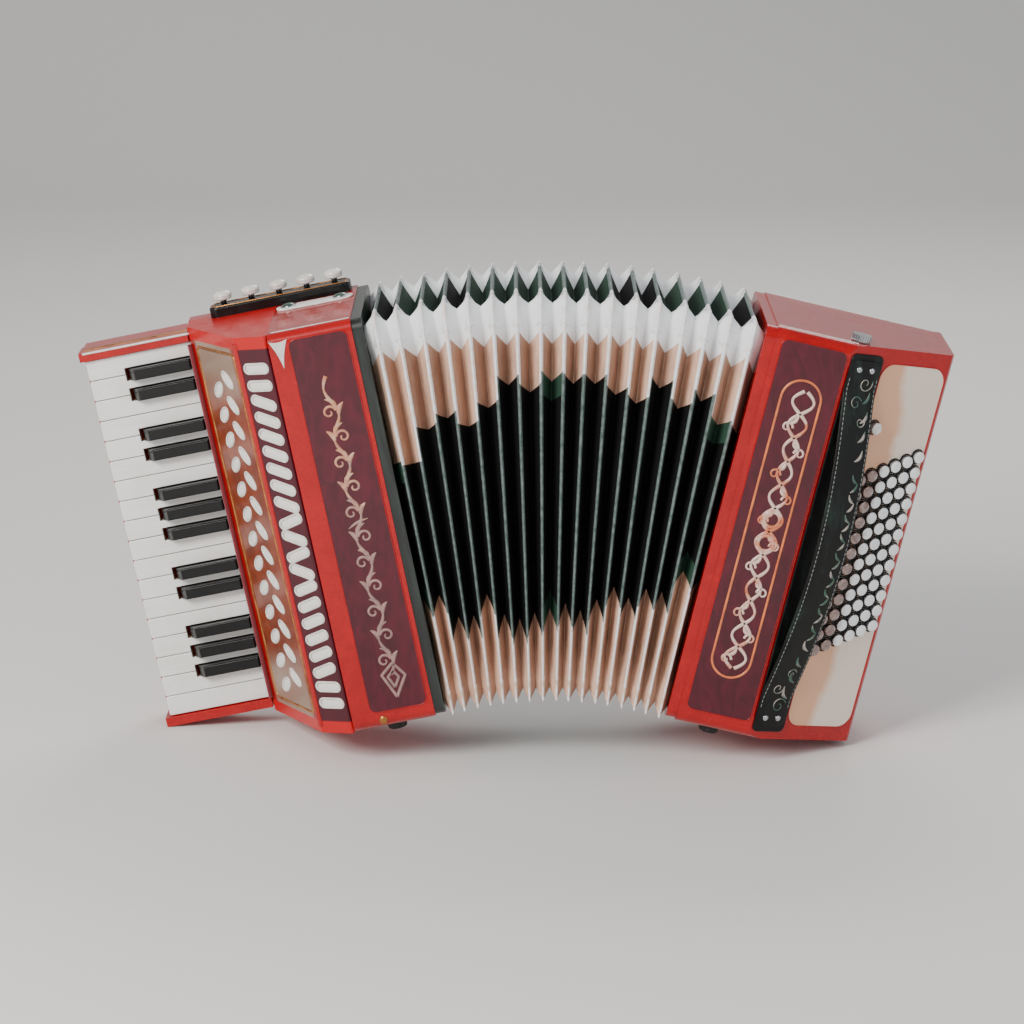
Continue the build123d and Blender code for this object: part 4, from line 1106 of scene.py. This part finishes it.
cap_enamel = Finish("cap_enamel", {"Coat Weight": 0.7, "Coat Roughness": 0.06})
where = cap_enamel.place()
chip = cap_enamel.noise(where, 120, 5, 0.6)
cap_enamel.two_tone(chip, 0.55, 0.8, GUSSET, PEARL_GREY)
cap_enamel.feed("Roughness", cap_enamel.limit(chip, 0.3, 0.8) * 0.2 + 0.2)
cap_enamel.bump(chip, 0.05, 0.0006)
cream_enamel = Finish("cream_cap_enamel", {"Coat Weight": 0.5, "Coat Roughness": 0.1})
chip = cream_enamel.noise(cream_enamel.place(), 120, 5, 0.6)
cream_enamel.two_tone(chip, 0.45, 0.8, ink(238, 214, 192), BEIGE_DARK)
cream_enamel.feed("Roughness", cream_enamel.limit(chip, 0.3, 0.8) * 0.2 + 0.3)
corner_caps("front_top_caps", 1, 0.027, 0.022, 0.0115, cap_enamel)
corner_caps("back_top_caps", 2, 0.022, 0.026, 0.0115, cap_enamel)
corner_caps("front_low_caps", 0, 0.018, 0.014, 0.0080, cream_enamel)
corner_caps("back_low_caps", 3, 0.018, 0.018, 0.0080, cream_enamel)

frame_lacquer = Finish("frame_lacquer", {"Coat Weight": 0.3, "Coat Roughness": 0.2})
grain = frame_lacquer.noise(upright_place(frame_lacquer, TREBLE_TILT, (60, 60, 6)), 3, 4)
frame_lacquer.two_tone(grain, 0.4, 0.8, ink(20, 24, 22), ink(44, 56, 50))
frame_lacquer.feed("Roughness", grain * 0.2 + 0.3)
frame_lacquer.bump(grain, 0.08, 0.0005)
paint("treble_bellows_frame", frame_lacquer)
paint("bass_bellows_frame", red_celluloid)


# ---------------------------------------------------------------- bass casing
# The bass half is the same red box with a slanted end. Its front has the second wine panel, with a copper
# racetrack round a pale woven lattice, and white pearl lines painted as highlights run along the top edges of
# both halves.
paint("bass_case", red_celluloid)
BASS_FRONT, END_SLOPE = 0.072, math.radians(31)
BASS_IN = bass_low[0]
BASS_OUT = BASS_IN + BASS_FRONT
bass_front = Face((BASS_IN, FRONT, 0), (1, 0, 0), (0, 0, 1), BASS_TILT)
BASS_PANEL = np.array([0.0635, HEIGHT - 0.026])
BASS_CENTRE = np.array([0.0065 + BASS_PANEL[0] / 2, 0.017 + BASS_PANEL[1] / 2])
bass_edge = rounded_outline(*BASS_PANEL, PANEL_ROUND) + BASS_CENTRE
skin_corner = bass_front.corner + bass_front.out * PANEL_THICK
bass_skin = Face(skin_corner, (1, 0, 0), (0, 0, 1), BASS_TILT)
bead_path = [(bass_edge, BEAD_WIDE, BEAD_TALL)]
for piece in (
    plate("bass_front_panel", bass_front, bass_edge, PANEL_THICK, PANEL_BEVEL, wine_pearl),
    beads("bass_panel_bead", bass_front, bead_path, red_celluloid, closed=True),
):
    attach(piece, "bass")

copper_paint = Finish("copper_paint", {"Coat Weight": 0.5, "Coat Roughness": 0.1})
smear = copper_paint.noise(copper_paint.place(), 55, 4, 0.6)
copper_paint.two_tone(smear, 0.4, 0.7, ink(236, 128, 70), ink(172, 78, 46))
copper_paint.feed("Roughness", smear * 0.3 + 0.2)
pale_paint = Finish("pale_paint", {"Coat Weight": 0.5, "Coat Roughness": 0.1})
smear = pale_paint.noise(pale_paint.place(), 60, 4, 0.6)
pale_paint.two_tone(smear, 0.45, 0.62, ink(226, 196, 182), ink(206, 112, 72))
pale_paint.feed("Roughness", smear * 0.3 + 0.2)

TRACK_WIDE, TRACK_TALL = 0.038, 0.300
TRACK_CENTRE = BASS_CENTRE + (-0.001, 0.002)
track = rounded_outline(TRACK_WIDE, TRACK_TALL, TRACK_WIDE / 2 - 1e-5, 16) + TRACK_CENTRE
outer_track = beads("ornament_track", bass_skin, [(track, 0.0024, 0.0010)], copper_paint, closed=True)
lattice_z = np.linspace(-TRACK_TALL / 2 + 0.010, TRACK_TALL / 2 - 0.010, 150)
lattice_swell = 0.0105 * (1 - 0.35 * np.sin(lattice_z * 23) ** 2)
lattice_phase = lattice_z / 0.047 * 2 * math.pi
lattice = []
for hand in (1, -1):
    x = hand * lattice_swell * np.sin(lattice_phase) + 0.003
    width = 0.0026 + 0.0012 * np.cos(lattice_phase) ** 2
    lattice.append((np.stack([x, lattice_z], -1) + TRACK_CENTRE, width, 0.0009))
for number in range(11):
    z = -TRACK_TALL / 2 + 0.018 + number * 0.0235
    hand = 1 if number % 2 else -1
    spot = TRACK_CENTRE + (0.003 + hand * 0.0090, z)
    lattice.append(curl(spot, 0.0056, 0.0 if hand < 0 else math.pi, 1.1, -hand, 0.0026, 0.0008))
    leaf_tip = spot + (-hand * 0.0085, 0.0125)
    lattice.append(leaf_stroke(spot + (0, 0.004), leaf_tip, 0.2 * hand, 0.0038, 0.0009))
for lift in (-0.012, 0.012):
    ring_line = np.vstack([rounded_outline(0.015, 0.015, 0.0075 - 1e-5, 8)] * 2)[:33]
    lattice.append((ring_line + TRACK_CENTRE + (0.003, lift), 0.0036, 0.0012))
inner_lattice = beads("ornament_lattice", bass_skin, lattice, pale_paint, columns=6)
for piece in (outer_track, inner_lattice):
    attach(piece, "bass")

# Painted highlights along the top: a white pearl line near the front edge and one near the back of each half,
# where the top's edges catch the light.
TOP_INSET = 0.011
for half, tilt, start, stop in (
    ("treble", TREBLE_TILT, TREBLE_OUT + 0.004, TREBLE_IN - 0.001),
    ("bass", BASS_TILT, BASS_IN + 0.001, BASS_OUT + 0.006),
):
    top_face = Face((0, 0, HEIGHT), (1, 0, 0), (0, 1, 0), tilt)
    run_x = np.linspace(start, stop, 24)
    back_stop = np.linspace(start, stop if half == "treble" else bass_high[0] - 0.006, 24)
    lines = [
        (np.stack([run_x, np.full(24, FRONT + TOP_INSET)], -1), 0.0022, 0.0006),
        (np.stack([back_stop, np.full(24, BACK - TOP_INSET)], -1), 0.0022, 0.0006),
    ]
    pearl = beads(f"{half}_top_highlight_lines", top_face, lines, white_pearl, columns=8)
    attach(pearl, half)

# A small brass stud holds the foot of the treble panel.
stud_base = treble_front.points(np.array(0.030), np.array(0.0082), np.array(-0.0002))
stud_axis = swing((0, -1, 0), TREBLE_TILT)
stud = turned("treble_brass_stud", stud_base, stud_axis, dome_profile(0.0042, 0.0008, 0.0024), gilt, 24)
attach(stud, "treble")


# ---------------------------------------------------------------- button board
# A cream board is let into the slanted end, with the strap's shadow painted on it in tan beside the strap.
# Six slanting columns of twelve domed pearl buttons stand in it, each inside a black collar; the collars run
# together in a scalloped edge.
end_face = Face((BASS_OUT, FRONT, 0), (math.cos(END_SLOPE), math.sin(END_SLOPE), 0), (0, 0, 1), BASS_TILT)
CREAM = ink(230, 214, 198)
CREAM_STRAP_SHADOW = ink(222, 168, 132)
PALM_WIDE, BOARD_WIDE, BOARD_TALL, BOARD_ROUND = 0.041, 0.080, 0.372, 0.016


def board_share(finish):
    """How far across the button board a point lies, from 0 beside the strap to 1 at the outer edge."""
    x_here = finish.axis(upright_place(finish, BASS_TILT), 0)
    return ((x_here - BASS_OUT) / math.cos(END_SLOPE) - PALM_WIDE) / BOARD_WIDE


cream_board = Finish("cream_board", {"Coat Weight": 0.4, "Coat Roughness": 0.12})
z_here = cream_board.axis(upright_place(cream_board, BASS_TILT), 2)
across_board = board_share(cream_board)
smoke = cream_board.noise(cream_board.place(), 16, 5, 0.55, 0.8)
towards_middle = (z_here / HEIGHT - 0.5).maths("ABSOLUTE")
# Painted shadow: the board is painted tan beside the strap where its shadow falls, reaching furthest across
# at mid-height.
strap_shadow_edge = 0.62 - towards_middle * 0.55 + (smoke - 0.5) * 0.35
painted_strap_shadow = 1 - cream_board.limit(across_board - strap_shadow_edge, -0.05, 0.08)
cream_board.feed("Base Color", cream_board.blend(painted_strap_shadow, CREAM, CREAM_STRAP_SHADOW))
cream_board.feed("Roughness", smoke * 0.2 + 0.22)
cream_board.bump(cream_board.noise(cream_board.place(), 240, 3), 0.05, 0.0004)
paint("button_board", cream_board)

ROWS, COLUMNS, ROW_PITCH, COLUMN_PITCH, COLUMN_RISE = 12, 6, 0.0158, 0.0127, 0.0056
BUTTONS_MID = np.array([PALM_WIDE + BOARD_WIDE / 2, 0.196])


def button_spot(column, row):
    """The place of a button on the end face; half numbers fall between buttons."""
    column, row = column - (COLUMNS - 1) / 2, row - (ROWS - 1) / 2
    return BUTTONS_MID + (column * COLUMN_PITCH, row * ROW_PITCH + column * COLUMN_RISE)


def discs(name, face, spots, profile, finish, steps):
    """The same turned profile of radius and height at every spot on a face, as one piece."""
    radius, height = np.asarray(profile, float).T
    angle = np.linspace(0, 2 * math.pi, steps, endpoint=False)
    along = radius[:, None] * np.cos(angle)
    up = radius[:, None] * np.sin(angle)
    number = np.arange(along.size).reshape(along.shape)
    number = np.hstack([number, number[:, :1]])
    points = [face.points(spot[0] + along, spot[1] + up, height[:, None]).reshape(-1, 3) for spot in spots]
    faces = [quads_of(number) + place * along.size for place in range(len(spots))]
    return mesh_object(name, np.concatenate(points), np.concatenate(faces), finish)


BUTTON_HEAD, BUTTON_SHAFT, BUTTON_PROUD, BUTTON_FOOT, HEAD_THICK = 0.0060, 0.0053, 0.005, -0.0078, 0.0013
button_profile = [
    (0.0001, BUTTON_FOOT), (BUTTON_SHAFT, BUTTON_FOOT), (BUTTON_SHAFT, BUTTON_PROUD - HEAD_THICK - 0.0001),
    (BUTTON_HEAD - 0.0002, BUTTON_PROUD - HEAD_THICK), (BUTTON_HEAD, BUTTON_PROUD - 0.0010),
    (BUTTON_HEAD - 0.0006, BUTTON_PROUD - 0.0004), (0.0034, BUTTON_PROUD - 0.00005), (0.0001, BUTTON_PROUD),
]
# Painted shadow: buttons in the columns beside the strap are painted smoky grey for the strap's shadow on
# them; the rest are white pearl.
STRAP_SHADOW_PEARL = ink(122, 96, 90)
STRAP_SHADOW_PEARL_PALE = ink(158, 134, 128)
button_pearl = Finish("button_pearl", {"Coat Weight": 0.7, "Coat Roughness": 0.06, "IOR": 1.5})
across_board = board_share(button_pearl)
nacre = button_pearl.noise(button_pearl.place(), 110, 4, 0.5, 1.6)
out_of_strap_shadow = button_pearl.limit(across_board + (nacre - 0.5) * 0.12, 0.34, 0.44)
white = button_pearl.blend(button_pearl.limit(nacre, 0.55, 0.85), ink(244, 246, 248), ink(212, 206, 200))
strap_shadowed_pearl = button_pearl.blend(button_pearl.limit(nacre, 0.35, 0.65), STRAP_SHADOW_PEARL, STRAP_SHADOW_PEARL_PALE)
button_pearl.feed("Base Color", button_pearl.blend(out_of_strap_shadow, strap_shadowed_pearl, white))
button_pearl.feed("Roughness", nacre * 0.15 + 0.12)
button_pearl.bump(nacre, 0.05, 0.0005)
for node, columns in (
    ("bass_note_buttons", (0, 1)),
    ("major_minor_buttons", (2, 3)),
    ("seventh_buttons", (4, 5)),
):
    spots = [button_spot(column, row) for column in columns for row in range(ROWS)]
    heads = discs(f"{node}_pearl", end_face, spots, button_profile, button_pearl, 16)
    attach(heads, node)
    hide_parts(node)

air_spot = (PALM_WIDE + 0.009, 0.322)
air_profile = [
    (0.0001, BUTTON_FOOT), (BUTTON_SHAFT, BUTTON_FOOT), (BUTTON_SHAFT, 0.0050), (0.0058, 0.0052),
    (0.0059, 0.0062), (0.0052, 0.0068), (0.0030, 0.0066), (0.0001, 0.0065),
]
air = discs("air_button_cap", end_face, [air_spot], air_profile, white_pearl, 32)
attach(air, "air_button")
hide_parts("air_button")

collar_profile = [
    (0.00625, -0.0003), (0.00625, 0.0010), (0.0065, 0.0013),
    (0.0072, 0.0011), (0.0077, 0.0006), (0.0077, -0.0003),
]
every = [(column, row) for column in range(COLUMNS) for row in range(ROWS)]
gaps = [
    (column + share, row + rise)
    for column in range(COLUMNS - 1)
    for row in range(ROWS - 1)
    for share, rise in ((1 / 3, 1 / 3), (2 / 3, 2 / 3))
]
collar_spots = [button_spot(*spot) for spot in every] + [air_spot]
collars = discs("button_collars", end_face, collar_spots, collar_profile[::-1], black_celluloid, 28)
fillers = discs(
    "collar_fillers", end_face, [button_spot(*spot) for spot in gaps],
    [(0.0026, -0.0003), (0.0026, 0.0005), (0.0018, 0.0009), (0.0001, 0.0009)], black_celluloid, 12,
)
for piece in (collars, fillers):
    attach(piece, "bass")

RIM_IN = 0.0004
board_edge = rounded_outline(BOARD_WIDE - 2 * RIM_IN, BOARD_TALL - 2 * RIM_IN, BOARD_ROUND - RIM_IN, 10)
board_edge = board_edge + (PALM_WIDE + BOARD_WIDE / 2, HEIGHT / 2)
board_bead = beads("board_rim", end_face, [(board_edge, 0.0013, 0.0006)], red_celluloid, closed=True)
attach(board_bead, "bass")


# ---------------------------------------------------------------- hand strap
# A black leather strap arches over the palm side of the slanted end, edge-stitched in grey, with pale curls
# painted at its ends as highlights, tooled leaves along the side by the buttons and greenish streaks of
# painted sheen. A chrome wheel on the top takes up its slack.
STRAP_LOW, STRAP_TAB, STRAP_LIFT, STRAP_THICK, STRAP_WIDE = 0.014, 0.028, 0.022, 0.003, 0.038
STRAP_START = 0.0015
ARCH_HALF = HEIGHT / 2 - STRAP_LOW - STRAP_TAB
black_leather = Finish("black_leather", {"IOR": 1.35})
where = black_leather.place()
grain = black_leather.cells(where, 640)
worn = black_leather.noise(black_leather.place(scale=(1, 1, 0.3)), 60, 5, 0.6)
# Painted sheen: greenish grey streaks running along the leather stand in for its highlights.
painted_sheen_streaks = black_leather.limit(worn, 0.52, 0.74)
black_leather.feed("Base Color", black_leather.blend(painted_sheen_streaks, ink(8, 9, 9), ink(30, 48, 40)))
black_leather.feed("Roughness", worn * 0.3 + 0.30)
black_leather.bump(grain * 0.7 + worn * 0.5, 0.25, 0.0007)


def strap_height(up):
    """The strap's underside above the end face: an arch, a power of one minus the square of the distance from
    its middle, flat on the face beyond the arch."""
    share = np.clip(np.abs(np.asarray(up) - HEIGHT / 2) / ARCH_HALF, 0, 1)
    return STRAP_LIFT * (1 - share ** 2) ** 1.12


def strap_crown(share):
    """The leather's thickness across the strap: full in the middle, less by a fourth power to both edges."""
    return 0.72 + 0.28 * (1 - share ** 4)


class StrapTop(Face):
    """The strap's upper side, used as a face: outwards is added to the arch and the strap's own crown."""

    def points(self, along, up, out):
        share = np.clip((np.asarray(along) - STRAP_START) / STRAP_WIDE * 2 - 1, -1, 1)
        top = strap_height(up) + STRAP_THICK * strap_crown(share)
        return super().points(along, up, out + top)


pad_edge = rounded_outline(PALM_WIDE - 0.003, HEIGHT - 0.016, 0.006) + (PALM_WIDE / 2 + 0.0005, HEIGHT / 2)
palm_pad = plate("palm_pad", end_face, pad_edge, 0.0016, 0.0009, black_leather)
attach(palm_pad, "bass")

strap_top = StrapTop(end_face.corner, end_face.along, (0, 0, 1), BASS_TILT)
strap_up = np.linspace(STRAP_LOW, HEIGHT - STRAP_LOW, 150)
share = np.linspace(-1, 1, 25)
end_gap = np.minimum(strap_up - STRAP_LOW, HEIGHT - STRAP_LOW - strap_up)
end_round = np.sqrt(np.clip(1 - (1 - np.clip(end_gap / 0.014, 0, 1)) ** 2, 0, 1)) * 0.35 + 0.65
strap_along = STRAP_START + STRAP_WIDE / 2 * (1 + share[None, :] * end_round[:, None])
groove = 0.10 * np.exp(-((np.abs(share) - 0.86) / 0.03) ** 2)
edge_soft = np.where(np.abs(share) > 0.995, 0.55, 1.0)
top_out = strap_height(strap_up)[:, None] + STRAP_THICK * ((strap_crown(share) - groove) * edge_soft)[None, :]
low_out = np.broadcast_to(np.maximum(strap_height(strap_up), 0.0017)[:, None], top_out.shape)
upper = end_face.points(strap_along, strap_up[:, None], top_out)
lower = end_face.points(strap_along, strap_up[:, None], low_out)
strap_grid = np.concatenate([upper, lower[:, ::-1]], 1)
hand_strap = surface("hand_strap_leather", strap_grid, black_leather, wrap_v=True)
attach(hand_strap, "bass")
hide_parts("bass_strap")

grey_thread = Finish("grey_thread", {"Roughness": 0.8})
twist = grey_thread.noise(grey_thread.place(), 1400, 2)
grey_thread.feed("Base Color", grey_thread.blend(twist, ink(96, 104, 100), ink(148, 152, 148)))
grey_thread.bump(twist, 0.3, 0.0003)
STITCH, STITCH_PITCH = 0.0032, 0.0046
stitches = []
for along in (STRAP_START + STRAP_WIDE * 0.07, STRAP_START + STRAP_WIDE * 0.93):
    for up in np.arange(STRAP_LOW + 0.020, HEIGHT - STRAP_LOW - 0.018, STITCH_PITCH):
        stitch = np.stack([np.full(4, along), up + np.linspace(0, STITCH, 4)], -1)
        stitches.append((stitch, [0.0006, 0.0010, 0.0010, 0.0006], 0.0004))
thread = beads("strap_stitches", strap_top, stitches, grey_thread, columns=5)
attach(thread, "bass")

tooling_and_highlight_paint = Finish("strap_tooling_and_highlights", {"Roughness": 0.5})
smear = tooling_and_highlight_paint.noise(tooling_and_highlight_paint.place(), 90, 4)
tooling_and_highlight_paint.two_tone(smear, 0.45, 0.6, ink(62, 92, 78), ink(170, 160, 152))
tooling_and_highlights = []
strap_mid_along = STRAP_START + STRAP_WIDE / 2
for end, way in ((STRAP_LOW, 1), (HEIGHT - STRAP_LOW, -1)):
    # Painted highlights: pale curls near each end of the strap, where its ends catch the light.
    for lift, radius, hand in ((0.022, 0.0085, 1), (0.041, 0.0070, -1), (0.058, 0.0055, 1)):
        spot = (strap_mid_along + hand * 0.004, end + way * lift)
        tooling_and_highlights.append(curl(spot, radius, 0.4, 1.2, hand * way, 0.0013, 0.0005))
    for lift in (0.030, 0.048, 0.066, 0.084):
        spot = np.array([STRAP_START + STRAP_WIDE * 0.80, end + way * lift])
        tooling_and_highlights.append(leaf_stroke(spot, spot + (-0.008, way * 0.011), 0.2, 0.0034, 0.0005))
for place in range(9):
    spot = np.array([STRAP_START + STRAP_WIDE * 0.82, 0.118 + place * 0.019])
    for reach, rise in ((-0.0075, 0.0085), (-0.0075, -0.0085)):
        tooling_and_highlights.append(leaf_stroke(spot, spot + (reach, rise), 0.15, 0.0030, 0.0005))
tooled_and_highlight_lines = beads("strap_tooling_and_highlight_lines", strap_top, tooling_and_highlights, tooling_and_highlight_paint, columns=6)
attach(tooled_and_highlight_lines, "bass")

rivets = [
    (STRAP_START + STRAP_WIDE * across, end)
    for across in (0.30, 0.70)
    for end in (STRAP_LOW + 0.009, HEIGHT - STRAP_LOW - 0.009)
]
rivet_profile = [(0.0031, -0.0003), (0.0031, 0.0003), (0.0024, 0.0009), (0.0012, 0.0012), (0.0001, 0.0013)]
rivet_heads = discs("strap_rivets", strap_top, rivets, rivet_profile, chrome_plate, 20)
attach(rivet_heads, "bass")
paint("strap_wheel", chrome_plate)


# ---------------------------------------------------------------- ending
# The sizes of the CAD and of the finished object are kept side by side for comparison.
sizes = {"cad": cad_box, "visual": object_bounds()}
{name: [list(map(float, corner)) for corner in box] for name, box in sizes.items()}
